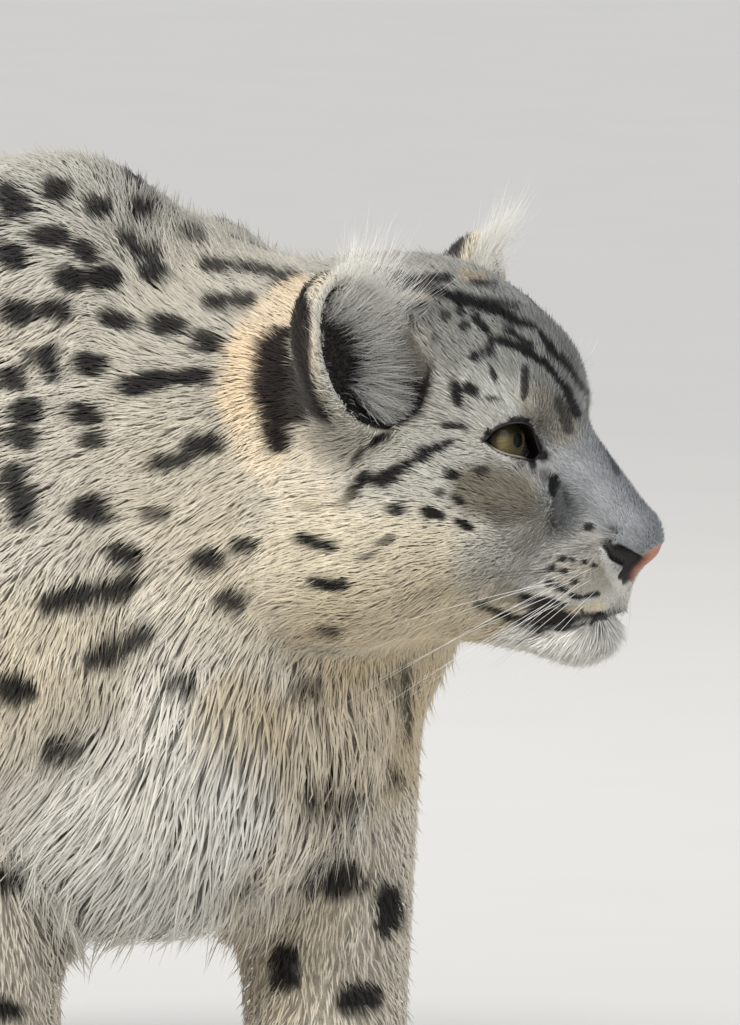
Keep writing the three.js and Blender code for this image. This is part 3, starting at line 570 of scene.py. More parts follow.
# A nostril's hollows, as pixels of the photograph with a radius in millimetres at each end
NOSTRIL_PIXELS = [
    (634, 562, 617, 553, 4.8),
    (617, 553, 604, 542, 2.2),
    (632, 566, 626, 574, 4.6),
    (628, 574, 627, 581, 2.6),
]
PHILTRUM = [(66, 0, -73), (56, 0, -86), (52, 0, -94)]
MUZZLE_FOLD = [(50, 14, -52), (32, 27, -58), (10, 37, -76), (-6, 43, -96)]
UNDER_EYE = [(10, 33, -14), (-4, 43, -17), (-20, 50, -13)]
TRUNK_ROW = 0
EYE_BLEND = 9


def rough_skin(points):
    """The distance to the skin before its hollows. The belly's coat is deeper by the fringe's depth."""
    depths = np.repeat(DEPTHS[:, None], len(points), axis=1)
    depths[TRUNK_ROW] += FRINGE_DEPTH * (1 - ramp(points[:, 2], *FRINGE_HEIGHTS))
    value = blended(distances(points) + depths)
    local = to_head(points)
    for side in SIDES:
        ball = np.linalg.norm(local - EYE * [1, side, 1], axis=1) - EYE_RADIUS - LID
        value = blend_min(value, ball, EYE_BLEND)
    return trimmed(value, local)


@by_blocks
def lid_field(points):
    return rough_skin(points)


RAY_SPAN = (-700, 900)
RAY_STEPS = 240
RAY_HALVINGS = 8


def cast(u, v, field):
    """The place where the line of sight of each pixel first meets a form."""
    target = PHOTO_MIDDLE + across_picture(u, v)
    way = unit(target - CAMERA_AT)
    steps = np.linspace(*RAY_SPAN, RAY_STEPS)
    points = target[:, None] + way[:, None] * steps[None, :, None]
    values = field(points.reshape(-1, 3)).reshape(len(target), -1)
    hit = (values < 0).any(1)
    far = steps[np.where(hit, (values < 0).argmax(1), values.argmin(1))]
    near = np.where(hit, far - steps[1] + steps[0], far)
    for _ in range(RAY_HALVINGS):
        middle = (near + far) / 2
        outside = field(target + way * middle[:, None]) > 0
        near, far = np.where(outside & hit, middle, near), np.where(outside | ~hit, far, middle)
    return target + way * far[:, None]


def nostril_shapes():
    """The nostril's hollows in the head's frame, on its left."""
    ends = np.array([row[:4] for row in NOSTRIL_PIXELS], float)
    starts, stops = cast(ends[:, 0], ends[:, 1], lid_field), cast(ends[:, 2], ends[:, 3], lid_field)
    pairs = np.stack([to_head(starts), to_head(stops)], 1) * [1, -1, 1]
    return [(pair, row[4]) for pair, row in zip(pairs, NOSTRIL_PIXELS)]


NOSTRIL = nostril_shapes()


def nostril_distance(both):
    return np.min([capsule(both, pair, radius) for pair, radius in NOSTRIL], axis=0)


HEAD_REACH = 220
SOLE = 1.5
CARVE_WIDTHS = {"nostril": 2.5, "lids": 1.2, "ear": 2}
EYE_SINK = 0.5


@by_blocks
def skin_field(points):
    """The distance to the skin, which lies inside the coat by its depth."""
    value = rough_skin(points)
    local = to_head(points)
    if np.linalg.norm(local, axis=1).min() < HEAD_REACH:
        value = carved_head(value, local)
    return np.maximum(value, SOLE - points[:, 2])


def carved_head(value, local):
    """Takes the folds, lids, mouth, nostrils and ear cups out of the head."""
    both = folded(local)
    for points, radius, width in GROOVES:
        value = carve(value, capsule(both, points, radius), width)
    value = carve(value, nostril_distance(both), CARVE_WIDTHS["nostril"])
    for side in SIDES:
        value = carve(value, lid_opening(local, side), CARVE_WIDTHS["lids"])
        from_eye = np.linalg.norm(local - EYE * [1, side, 1], axis=1)
        value = np.maximum(value, EYE_RADIUS - EYE_SINK - from_eye)
        value = carve(value, hollow_distance(local, side) - EAR["lining"], CARVE_WIDTHS["ear"])
    return value


# Finding a field's surface
SLOPES = np.array([(1, -1, -1), (-1, -1, 1), (-1, 1, -1), (1, 1, 1)], float)
SLOPE_STEP = 1.2
LEAST_STEEP = 0.5
MOST_MOVE = 6
SEARCH_REACH = 160
SEARCH_HALVINGS = 24
MOUTH_INSIDE = (0.3, 0, 1)


def slope(field, points, step=SLOPE_STEP):
    """The way in which a field grows fastest, and how fast."""
    total = sum(way * field(points + way * step)[:, None] for way in SLOPES) / (4 * step)
    return unit(total), np.linalg.norm(total, axis=1)


def settle(field, points, rounds=2):
    """Moves points along a field's slope to its surface."""
    for _ in range(rounds):
        way, steep = slope(field, points)
        move = field(points) / np.maximum(steep, LEAST_STEEP)
        points = points - way * np.clip(move, -MOST_MOVE, MOST_MOVE)[:, None]
    return points


def surface_from(inside, way, field, reach=SEARCH_REACH):
    """The place where a ray from inside a form leaves it."""
    near, far = np.zeros(len(way)), np.full(len(way), float(reach))
    for _ in range(SEARCH_HALVINGS):
        middle = (near + far) / 2
        within = field(inside + way * middle[:, None]) < 0
        near, far = np.where(within, middle, near), np.where(within, far, middle)
    return inside + way * near[:, None]


def mouth_on_skin():
    inside = from_head(MOUTH_LINE * MOUTH_INSIDE)
    return to_head(surface_from(inside, unit(from_head(MOUTH_LINE) - inside), lid_field))


MOUTH_SURFACE = mouth_on_skin()
# Grooves in the head's left half: their points, radius and the rounding of their edges
GROOVES = [
    (MUZZLE_FOLD, 1.0, 7),
    (UNDER_EYE, 0.4, 5),
    (PHILTRUM, 0.8, 3),
    (MOUTH_SURFACE, 1.3, 3.5),
]


# Noise, from a value drawn for each corner of a lattice
LATTICE_SIDE = 32
LATTICE = DRAW.random((LATTICE_SIDE,) * 3)


def noise(points, size):
    """Smooth noise from 0 to 1 with lumps of about a size."""
    q = points / size
    low = np.floor(q).astype(int)
    share = q - low
    share = share * share * (3 - 2 * share)
    total = 0
    for corner in product((0, 1), repeat=3):
        weight = np.prod(np.where(corner, share, 1 - share), axis=1)
        total = total + weight * LATTICE[tuple(((low + corner) % LATTICE_SIDE).T)]
    return total


# Markings that the photograph shows, as strokes in its pixels: start, end, half width and strength
HEAD_MARKS = [
    (378, 482, 400, 468, 7, 1), (400, 468, 425, 452, 6.5, 1), (425, 452, 449, 442, 4, 1),
    (341, 504, 352, 492, 5, 1), (352, 492, 366, 476, 5.5, 1), (353, 462, 362, 450, 2.5, 0.7),
    (369, 445, 383, 437, 3.5, 0.9), (418, 414, 419, 414, 4, 0.6), (392, 509, 399, 509, 6.5, 1),
    (426, 511, 441, 516, 5, 1), (456, 520, 470, 528, 3.5, 1), (449, 474, 454, 475, 5, 0.9),
    (477, 471, 481, 469, 4, 0.6), (436, 492, 440, 493, 3.5, 0.6), (452, 498, 461, 502, 3, 0.8),
    (298, 507, 315, 508, 5, 0.85), (302, 538, 330, 548, 6, 1), (313, 581, 341, 585, 6, 0.95),
    (318, 628, 336, 632, 6, 0.55), (380, 542, 390, 538, 4, 0.45), (360, 557, 372, 556, 3, 0.35),
    (324, 492, 332, 488, 3, 0.35), (553, 477, 554, 493, 4, 0.75), (585, 526, 588, 526, 4, 0.85),
    (453, 383, 456, 402, 5.5, 1), (466, 385, 472, 389, 5, 0.95), (487, 396, 500, 397, 2, 0.8),
    (443, 425, 460, 426, 3.5, 0.75), (472, 357, 479, 351, 4, 0.9), (443, 315, 444, 315, 4, 0.6),
    (462, 326, 465, 324, 4, 0.7), (458, 309, 460, 313, 3, 0.7), (430, 343, 434, 339, 4, 0.25),
    (378, 274, 400, 279, 6, 0.9), (400, 279, 447, 279, 4.5, 0.8), (384, 283, 420, 287, 5, 0.9),
    (420, 287, 455, 296, 5, 1), (455, 296, 492, 308, 5.5, 1), (492, 308, 520, 321, 4.5, 0.9),
    (395, 303, 424, 304, 3.5, 0.8), (470, 282, 495, 284, 3, 0.8), (480, 300, 515, 306, 3, 0.6),
    (473, 317, 486, 330, 4, 0.9), (492, 336, 520, 345, 4, 1), (520, 345, 545, 361, 3.5, 0.95),
    (545, 361, 566, 386, 3, 0.9), (566, 386, 578, 412, 3.5, 0.7), (491, 338, 489, 351, 3.5, 0.95),
    (489, 364, 494, 378, 3, 0.75), (524, 366, 523, 396, 4, 0.65), (512, 316, 534, 324, 3.5, 0.8),
    (505, 326, 530, 342, 3, 0.8), (548, 345, 575, 372, 2.5, 0.7), (562, 352, 588, 392, 2.5, 0.65),
    (540, 330, 552, 348, 3.5, 0.8), (560, 400, 568, 428, 5, 0.45), (596, 396, 600, 430, 3, 0.6),
    (600, 430, 618, 470, 3, 0.4), (558, 559, 561, 559, 3, 0.9), (570, 560, 572, 561, 3, 0.9),
    (583, 562, 584, 562, 2.8, 0.9), (593, 565, 594, 565, 2.4, 0.8), (547, 569, 551, 568, 2.6, 0.9),
    (560, 571, 563, 572, 3.2, 0.95), (572, 583, 575, 582, 2.6, 0.9), (556, 588, 562, 591, 2.8, 0.9),
    (546, 583, 549, 584, 2.4, 0.8), (570, 597, 580, 598, 2.6, 0.9), (586, 597, 597, 594, 2.4, 0.8),
    (522, 598, 545, 602, 4, 0.85), (545, 602, 560, 606, 3, 0.8), (592, 620, 596, 628, 3, 0.8),
    (600, 616, 606, 622, 3, 0.7), (582, 612, 584, 616, 2.4, 0.6),
]
BODY_MARKS = [
    (2, 195, 16, 206, 15, 0.85), (50, 190, 63, 191, 11, 0.8), (92, 204, 101, 207, 11, 0.8),
    (135, 204, 146, 208, 9, 0.75), (36, 237, 56, 238, 11, 0.8), (78, 250, 86, 253, 11, 0.8),
    (4, 256, 15, 257, 13, 0.85), (62, 279, 73, 280, 12, 0.85), (97, 277, 110, 280, 12, 0.85),
    (120, 235, 129, 236, 7, 0.7), (140, 250, 150, 251, 10, 0.8), (146, 271, 158, 272, 10, 0.8),
    (184, 232, 197, 234, 8, 0.5), (205, 264, 250, 268, 7, 0.75), (250, 268, 295, 277, 6, 0.7),
    (10, 313, 22, 314, 13, 0.85), (47, 311, 59, 312, 12, 0.85), (105, 319, 126, 322, 10, 0.9),
    (161, 324, 174, 325, 12, 0.85), (208, 302, 221, 303, 10, 0.8), (237, 300, 250, 300, 8, 0.7),
    (277, 283, 291, 284, 7, 0.7), (200, 343, 212, 344, 11, 0.8), (49, 352, 49, 376, 10, 0.85),
    (28, 358, 36, 358, 8, 0.5), (6, 380, 14, 381, 12, 0.8), (84, 364, 95, 365, 12, 0.85),
    (124, 386, 160, 380, 11, 0.9), (160, 380, 204, 377, 9, 0.85), (19, 412, 31, 413, 13, 0.85),
    (79, 413, 91, 414, 13, 0.9), (88, 440, 97, 441, 9, 0.75), (14, 437, 26, 438, 11, 0.8),
    (12, 480, 22, 511, 16, 0.8), (197, 444, 211, 445, 12, 0.85), (154, 463, 165, 464, 9, 0.75),
    (174, 461, 183, 461, 9, 0.7), (82, 511, 96, 512, 15, 0.85), (150, 514, 162, 515, 11, 0.5),
    (117, 555, 129, 556, 13, 0.85), (48, 606, 128, 588, 12, 0.8), (200, 562, 214, 563, 12, 0.8),
    (238, 546, 250, 547, 9, 0.75), (225, 600, 237, 601, 12, 0.75), (95, 660, 145, 636, 12, 0.75),
    (6, 690, 18, 691, 18, 0.85), (175, 687, 188, 688, 13, 0.8), (55, 752, 69, 753, 14, 0.8),
    (299, 693, 311, 694, 12, 0.55), (309, 806, 355, 806, 12, 0.9), (317, 880, 341, 880, 23, 0.8),
    (285, 958, 285, 981, 15, 0.85), (353, 1002, 366, 1002, 17, 0.85), (390, 898, 390, 928, 14, 0.85),
    (388, 781, 392, 781, 10, 0.7), (404, 668, 406, 738, 6, 0.55), (388, 684, 389, 686, 8, 0.4),
    (243, 889, 249, 890, 13, 0.45), (6, 880, 12, 880, 14, 0.85), (3, 1014, 9, 1014, 14, 0.85),
]
# Tints, laid in turn: start, end, half width, softness, strength and colour
CHARCOAL = srgb(17, 16, 18)
HEAD_TINTS = [
    # Partly the grey of the fur below the ear and partly painted light, lifted to offset the shadow that the
    # ear casts there
    (350, 430, 470, 440, 50, 40, 0.5, srgb(180, 179, 172)),
    (420, 322, 545, 350, 26, 30, 0.6, srgb(128, 129, 125)),
    # Painted light: a pale tint that lifts the shade in the hollow between the cheekbone and the nose bridge
    (556, 495, 560, 530, 9, 12, 0.5, srgb(176, 178, 178)),
    (340, 640, 470, 625, 36, 40, 0.5, srgb(226, 204, 164)),
    (300, 560, 420, 570, 30, 40, 0.5, srgb(238, 224, 194)),
    (520, 655, 600, 652, 24, 14, 0.9, srgb(236, 234, 226)),
    (590, 470, 640, 530, 22, 22, 0.75, srgb(140, 144, 148)),
    (550, 455, 585, 500, 14, 16, 0.5, srgb(160, 163, 166)),
    (480, 380, 512, 400, 14, 12, 0.5, srgb(190, 192, 186)),
    (535, 400, 560, 425, 12, 14, 0.45, srgb(150, 138, 112)),
    (476, 490, 510, 497, 16, 22, 0.85, srgb(102, 94, 76)),
    (500, 512, 530, 508, 10, 14, 0.5, srgb(118, 112, 104)),
    (545, 545, 590, 555, 16, 16, 0.5, srgb(170, 166, 156)),
    (480, 566, 540, 566, 18, 26, 0.55, srgb(204, 202, 195)),
    (568, 578, 598, 578, 10, 14, 0.5, srgb(142, 130, 108)),
    (601, 546, 611, 572, 3, 3.5, 0.75, srgb(206, 206, 200)),
    (611, 572, 623, 594, 3.5, 4, 0.75, srgb(216, 213, 204)),
    (540, 618, 600, 606, 4, 3, 0.6, srgb(222, 205, 170)),
    (489, 448, 512, 463, 2.5, 2.5, 0.9, srgb(226, 226, 218)),
    (392, 292, 424, 294, 6, 4, 0.7, srgb(188, 172, 144)),
    (463, 275, 481, 278, 4, 3, 0.7, srgb(188, 172, 144)),
]
# The eye's black rim, the mouth's dark lips and the nostril's dark edge
BLACKS = [
    (512, 420, 527, 422, 2.5, 2, 1, CHARCOAL), (522, 425, 536, 448, 7, 2.5, 1, CHARCOAL),
    (530, 444, 543, 456, 5, 2.5, 1, CHARCOAL), (530, 455, 533, 466, 2.5, 2.5, 0.95, CHARCOAL),
    (480, 438, 490, 435, 1.2, 2, 0.6, CHARCOAL),
    (476, 604, 505, 616, 3, 2, 0.95, CHARCOAL), (505, 616, 540, 629, 4, 3, 0.95, CHARCOAL),
    (535, 613, 562, 622, 8, 4, 0.95, CHARCOAL), (562, 622, 600, 616, 2.5, 2.5, 0.85, CHARCOAL),
    (604, 543, 612, 556, 2.5, 1.5, 0.9, CHARCOAL),
]
BODY_TINTS = [
    (440, 700, 330, 760, 50, 50, 0.5, srgb(214, 190, 146)),
    (237, 720, 238, 722, 30, 30, 0.45, srgb(196, 172, 120)),
    (300, 880, 260, 980, 40, 40, 0.35, srgb(228, 208, 172)),
]
EAR_TINTS = [
    (292, 296, 248, 350, 13, 20, 0.8, srgb(238, 218, 188)),
    (248, 350, 238, 400, 13, 20, 0.8, srgb(238, 214, 180)),
    (238, 400, 262, 452, 13, 20, 0.8, srgb(242, 220, 186)),
    (270, 470, 300, 515, 28, 36, 0.6, srgb(246, 232, 206)),
    (296, 304, 272, 350, 11, 4, 1, srgb(36, 29, 27)), (272, 350, 268, 390, 16, 4, 1, srgb(36, 29, 27)),
    (268, 390, 277, 440, 13, 4, 1, srgb(36, 29, 27)), (299, 314, 296, 412, 10, 4, 0.95, srgb(40, 34, 32)),
]
CHARCOAL_SPREAD = 0.3
CHARCOAL_LUMPS = 3
# How far a stroke reaches, in depth and around it, and how fast it fades off its depth
DEPTH_SLACK = 22
STROKE_SOFT = 30
STROKE_REACH = 3.5
STROKE_DEPTH = 2.4
OFF_DEPTH = 3
# How a marking's edge wanders: the sizes of its waves, the wider one's share, their middle and their width
WAVE_SIZES = (5, 12)
WAVE_SHIFT = 50
WAVE_WIDE = 0.8
WAVE_MIDDLE = 0.9
WAVE_LEAST = 2
WAVE_SHARE = 0.5
EDGE_INSIDE = 0.7
EDGE_OUTSIDE = 1.15


class Stroke:
    """A stroke drawn over the photograph, with the place in space where its ends meet the coat."""

    def __init__(self, row, start, end):
        self.pixels, self.row = np.array(row[:4], float), row
        self.start, self.end = start, end
        self.middle = (start + end) / 2
        around = STROKE_REACH * (row[4] + STROKE_SOFT) / PHOTO_SCALE
        self.reach = np.linalg.norm(end - start) / 2 + around + DEPTH_SLACK

    def near(self, low, high):
        """Whether the stroke may touch a box."""
        nearest = np.clip(self.middle, low, high)
        return np.linalg.norm(nearest - self.middle) < self.reach

    def distance(self, points, u, v):
        """The pixels from each point to the stroke, and more where the point lies well off it in depth."""
        a, b = self.pixels[:2], self.pixels[2:]
        span = max((b - a) @ (b - a), 1e-6)
        t = np.clip(((u - a[0]) * (b[0] - a[0]) + (v - a[1]) * (b[1] - a[1])) / span, 0, 1)
        flat = np.hypot(u - a[0] - t * (b[0] - a[0]), v - a[1] - t * (b[1] - a[1]))
        deep = np.linalg.norm(points - self.start - t[:, None] * (self.end - self.start), axis=1)
        limit = STROKE_DEPTH * self.row[4] / PHOTO_SCALE + DEPTH_SLACK
        return flat + OFF_DEPTH * np.maximum(deep - limit, 0)


def strokes(rows):
    ends = np.array([row[:4] for row in rows], float)
    starts = cast(ends[:, 0], ends[:, 1], coat_field)
    stops = cast(ends[:, 2], ends[:, 3], coat_field)
    return [Stroke(row, a, b) for row, a, b in zip(rows, starts, stops)]


MARKS = {"head": strokes(HEAD_MARKS), "body": strokes(BODY_MARKS)}
TINTS = {
    "head": strokes(HEAD_TINTS),
    "body": strokes(BODY_TINTS),
    "ear": strokes(EAR_TINTS),
    "black": strokes(BLACKS),
}


def marked(points, group):
    """How dark each point is from one group of markings, from 0 to 1."""
    u, v = pixel_of(points)
    fine, wide = WAVE_SIZES
    wave = noise(points, fine) + WAVE_WIDE * noise(points + WAVE_SHIFT, wide) - WAVE_MIDDLE
    total = np.zeros(len(points))
    low, high = points.min(0), points.max(0)
    for stroke in MARKS[group]:
        if not stroke.near(low, high):
            continue
        half, strength = stroke.row[4:6]
        d = stroke.distance(points, u, v) + wave * (WAVE_LEAST + half * WAVE_SHARE)
        edge = ramp(d, half * EDGE_INSIDE, half * EDGE_OUTSIDE + 1)
        total = np.maximum(total, strength * (1 - edge))
    return total


def tinted(colours, points, group):
    u, v = pixel_of(points)
    low, high = points.min(0), points.max(0)
    for stroke in TINTS[group]:
        if not stroke.near(low, high):
            continue
        half, soft, strength, colour = stroke.row[4:]
        share = strength * (1 - ramp(stroke.distance(points, u, v), half, half + soft))
        colours = lerp(colours, colour, share[:, None])
    return colours


# Rosettes where the photograph shows none: radius, spacing, strength and whether they are rings
ROSETTES = {
    "trunk": (26, 72, 0.85, True), "neck": (14, 44, 0.85, False), "blade": (19, 58, 0.85, True),
    "crest": (16, 52, 0.8, True), "arm": (15, 46, 0.85, False), "forearm": (12, 38, 0.85, False),
    "pastern": (9, 29, 0.85, False), "thigh": (22, 64, 0.85, True), "shank": (14, 42, 0.85, False),
    "hock": (10, 32, 0.85, False), "paw": (6, 21, 0.7, False), "tail": (24, 62, 0.85, True),
    "nape": (8, 30, 0.85, False),
}
SEED_TRIES = 9000
SEED_SPREADS = {"spacing": (0.85, 1.1), "radius": (0.8, 1.2), "strength": (0.75, 1.1)}
# A rosette's shape, in shares of its radius: its length, its bends, its ring and the breaks in the ring
ROSETTE_LONG = (0.82, 1, 1)
ROSETTE_BENDS = ((11, 0.7), (4, 0.4))
ROSETTE_REACH = 1.7
ROSETTE_NEAR = 60
ROSETTE_EDGE = (0.75, 1.05)
RING_AT = 0.78
RING_EDGE = (0.16, 0.36)
RING_CORE = 0.28
BREAK_SHIFT = 200
BREAK_SIZE = 15
BREAK_EDGE = (0.22, 0.4)


def rosette_seeds(points, names, hidden):
    """Rosettes scattered where the photograph shows no surface, at least their spacing apart."""
    order = DRAW.permutation(len(points))[:SEED_TRIES]
    kept, spaces, rows = [], [], []
    for i in order:
        if names[i] not in ROSETTES or not hidden[i]:
            continue
        radius, spacing, strength, ring = ROSETTES[names[i]]
        spacing = spacing * DRAW.uniform(*SEED_SPREADS["spacing"])
        if kept:
            apart = np.linalg.norm(np.array(kept) - points[i], axis=1)
            if (apart < (spacing + np.array(spaces)) / 2).any():
                continue
        kept.append(points[i])
        spaces.append(spacing)
        radius = radius * DRAW.uniform(*SEED_SPREADS["radius"])
        strength = strength * DRAW.uniform(*SEED_SPREADS["strength"])
        rows.append((radius, strength, ring))
    return np.array(kept), np.array(rows, float)


def rosettes(points, seeds, rows):
    """How dark each point is from the scattered rosettes."""
    total = np.zeros(len(points))
    bend = sum((noise(points, size) - 0.5) * share for size, share in ROSETTE_BENDS)
    breaks = noise(points + BREAK_SHIFT, BREAK_SIZE)
    low, high = points.min(0) - ROSETTE_NEAR, points.max(0) + ROSETTE_NEAR
    close = np.flatnonzero(((seeds > low) & (seeds < high)).all(1))
    for seed, (radius, strength, ring) in zip(seeds[close], rows[close]):
        offset = (points - seed) * ROSETTE_LONG
        near = np.flatnonzero((np.abs(offset) < radius * ROSETTE_REACH).all(1))
        d = np.linalg.norm(offset[near], axis=1) / radius + bend[near]
        value = 1 - ramp(d, *ROSETTE_EDGE)
        if ring:
            band = (1 - ramp(np.abs(d - RING_AT), *RING_EDGE)) * ramp(breaks[near], *BREAK_EDGE)
            value = np.maximum(band, value * RING_CORE)
        total[near] = np.maximum(total[near], strength * value)
    return total


# The coat at any place: the share of each form, its depth and lie, and its tones
ROWS = [COAT[name] for name in FORM_NAMES]
NUMBERS = np.array([row[:4] for row in ROWS], float)
TONES = np.array([np.concatenate(row[4:6]) for row in ROWS])
FORM_LIES = np.array([
    form.lie if row[6] == "along" else row[6] or (0, 0, 0) for form, row in zip(FORMS, ROWS)
])
HEAD_LIE = np.array([i >= FIRST_HEAD and ROWS[i][6] is None for i in range(len(FORMS))])
EAR_FORMS = FORM_NAMES == "ear"
EAR_AXES, EAR_MIDDLE = ear_frame(1)
FALLING = np.isin(FORM_NAMES, ["neck", "blade", "crest", "arm", "thigh"])
SHARE_WIDTH = 14
# The head's coat runs away from the nose and round the eyes
NOSE = np.array([58, 0, -62])
NOSE_DROP = (0, 0, -0.1)
EYE_CLEAR = 34
EYE_PUSH = 1.1
# The chest's coat hangs and is longer, and the back's lies back
CHEST_FRONT = (40, 140)
CHEST_HEIGHT = (300, 190, 60)
SHAGGY_HEIGHT = (350, 120, 40)
SHAGGY_LENGTH = 0.4
BACK_LIE = np.array([-0.93, 0, -0.3])
CHEST_LIE = np.array([-0.25, 0, -1])
TOP_LIE = np.array([-0.6, 0, 0])
TOP_FACING = (0.1, 0.75)
EAR_LIE = 0.9
SWAY = {"size": 40, "shift": 90, "share": 0.25, "middle": 0.125}


def head_lie(local):
    """The way the head's coat lies, in the head's frame."""
    away = unit(unit(local - NOSE) + NOSE_DROP)
    for side in SIDES:
        off = local - EYE * [1, side, 1]
        push = 1 - ramp(np.linalg.norm(off, axis=1), EYE_RADIUS, EYE_CLEAR)
        aside = unit(off) - away * (unit(off) * away).sum(1)[:, None]
        away = unit(away + EYE_PUSH * push[:, None] * aside)
    return away


def within(height, middle, outer, inner):
    """1 near a middle height, and 0 from the outer distance on."""
    return ramp(-np.abs(height - middle), -outer, -inner)


def coat_of(points, normals):
    """For each point: the form it mostly lies on, its coat's numbers and tones, and its lie."""
    rows = distances(points) + DEPTHS[:, None]
    shares = np.exp((rows.min(0) - rows) / SHARE_WIDTH)
    shares /= shares.sum(0)
    local = to_head(points)
    side = np.sign(local[:, 1:2]) * [0, 1, 0] + [1, 0, 1]
    from_ear = turn_from_head(unit(local - EAR_MIDDLE * side))
    front = ramp(points[:, 0], *CHEST_FRONT)
    chest = front * within(points[:, 2], *CHEST_HEIGHT)
    shaggy = front * within(points[:, 2], *SHAGGY_HEIGHT)
    back = lerp(BACK_LIE, CHEST_LIE, chest[:, None])
    top = ramp(normals[:, 2], *TOP_FACING)[:, None]
    flow = shares.T @ FORM_LIES
    flow += top * (FALLING @ shares)[:, None] * TOP_LIE - top * flow * [0, 0, 1]
    from_nose = turn_from_head(unit(head_lie(local)))
    flow += (HEAD_LIE @ shares)[:, None] * from_nose + shares[TRUNK_ROW][:, None] * back
    flow += EAR_LIE * (EAR_FORMS @ shares)[:, None] * from_ear
    sway = [noise(points + i * SWAY["shift"], SWAY["size"]) for i in range(3)]
    flow += SWAY["share"] * np.column_stack(sway) - SWAY["middle"]
    flow = unit(flow - normals * (flow * normals).sum(1)[:, None])
    numbers = shares.T @ NUMBERS
    numbers[:, 1] *= 1 + SHAGGY_LENGTH * shaggy
    return shares.argmax(0), numbers, shares.T @ TONES, flow


def coat_rows(points, normals):
    both = np.column_stack([points, normals])
    return in_blocks(lambda rows: coat_of(rows[:, :3], rows[:, 3:]), both)


# The picture's soft edges, the coat's top edge in it and how squarely a place has to face the camera
FRAME_LEFT = (-12, 0)
FRAME_TOP = (120, 140)
FRAME_BOTTOM = (-1034, -1022)
FACING = (0.0, 0.22)


def seen(points, normals):
    """How well the photograph shows each point, from 0 to 1."""
    u, v = pixel_of(points)
    framed = ramp(u, *FRAME_LEFT) * ramp(v, *FRAME_TOP) * ramp(-v, *FRAME_BOTTOM)
    return framed * ramp(normals @ BACK, *FACING)


# Painting the coat: its upper side, where the head starts, what counts as seen, its lumps and its markings
UPPER_SIDE = (-0.55, 0.6)
HEAD_START = (-150, -118)
SHOWN = (0, 0.3)
SEEN_AT_ALL = 0.05
LUMP_LIGHT = 0.88
LUMPS = (9, 0.24)
FINE_LUMPS = (2.3, 0.12)
MARK_POWER = 2.2
MARK_STRENGTH = 0.985
EAR_REACH = 95


def painted(points, normals, tones, seeds, seed_rows):
    """The coat's colour at each point, with the share of it that is bare skin."""
    rows = np.column_stack([points, normals, tones])
    return in_blocks(lambda r: paint(r[:, :3], r[:, 3:6], r[:, 6:], seeds, seed_rows), rows)


def paint(points, normals, tones, seeds, seed_rows):
    up = ramp(normals[:, 2], *UPPER_SIDE)[:, None]
    colours = lerp(tones[:, 3:], tones[:, :3], up)
    sight = seen(points, normals)
    local = to_head(points)
    head = ramp(local[:, 0], *HEAD_START)
    mirrored_points = from_head(local * [1, -1, 1])
    scattered = rosettes(points, seeds, seed_rows) * (1 - head)
    marks = np.maximum(marked(points, "body") * sight, scattered)
    shown = ramp(sight, *SHOWN)
    for places, share in ((points, head * shown), (mirrored_points, head * (1 - shown))):
        colours = lerp(colours, tinted(colours, places, "head"), share[:, None])
        marks = np.maximum(marks, marked(places, "head") * share)
    colours = lerp(colours, tinted(colours, points, "body"), sight[:, None])
    size, light = LUMPS
    fine_size, fine_light = FINE_LUMPS
    lump = LUMP_LIGHT + light * noise(points, size) + fine_light * (noise(points, fine_size) - 0.5)
    colours = colours * lump[:, None]
    marks = 1 - (1 - np.clip(marks, 0, 1)) ** MARK_POWER
    dark = CHARCOAL * (1 + CHARCOAL_SPREAD * (noise(points, CHARCOAL_LUMPS)[:, None] - 0.5))
    colours = lerp(colours, dark, MARK_STRENGTH * marks[:, None])
    ears = (np.linalg.norm(folded(local) - EAR_MIDDLE, axis=1) < EAR_REACH).astype(float)
    right = np.where((local[:, 1] < 0)[:, None], points, mirrored_points)
    colours = lerp(colours, tinted(colours, right, "ear"), ears[:, None])
    colours = ear_paint(colours, local, ears)
    near_side = np.where(sight > SEEN_AT_ALL, 1.0, 0)[:, None]
    far_blacks = tinted(colours, mirrored_points, "black")
    blacks = lerp(far_blacks, tinted(colours, points, "black"), near_side)
    colours = lerp(colours, blacks, head[:, None])
    return bare_paint(colours, local, head)


# Painted shade for the hollow of the ear
EAR_HOLLOW_SHADE = srgb(22, 19, 18)
EAR_PALE = srgb(196, 190, 178)
EAR_BACK = srgb(52, 46, 44)
EAR_RIM = srgb(212, 205, 188)
# Where the ear's paints start and end, by its height, the distance across it, how far it opens and its walls
EAR_PAINT = {
    "hollow": (1.0, 5.0),
    "lining": (14, 30),
    "behind": (0, 6),
    "behind_height": (-24, -10),
    "behind_wall": (3, 8),
    "patch_height": 8,
    "patch_size": (14, 24),
    "patch_behind": (6, 14),
    "rim_wall": 2,
    "rim_width": (2.5, 5.5),
    "rim_height": (-16, 6),
    "rim_front": (7, 12),
    "rim_strength": 0.8,
}


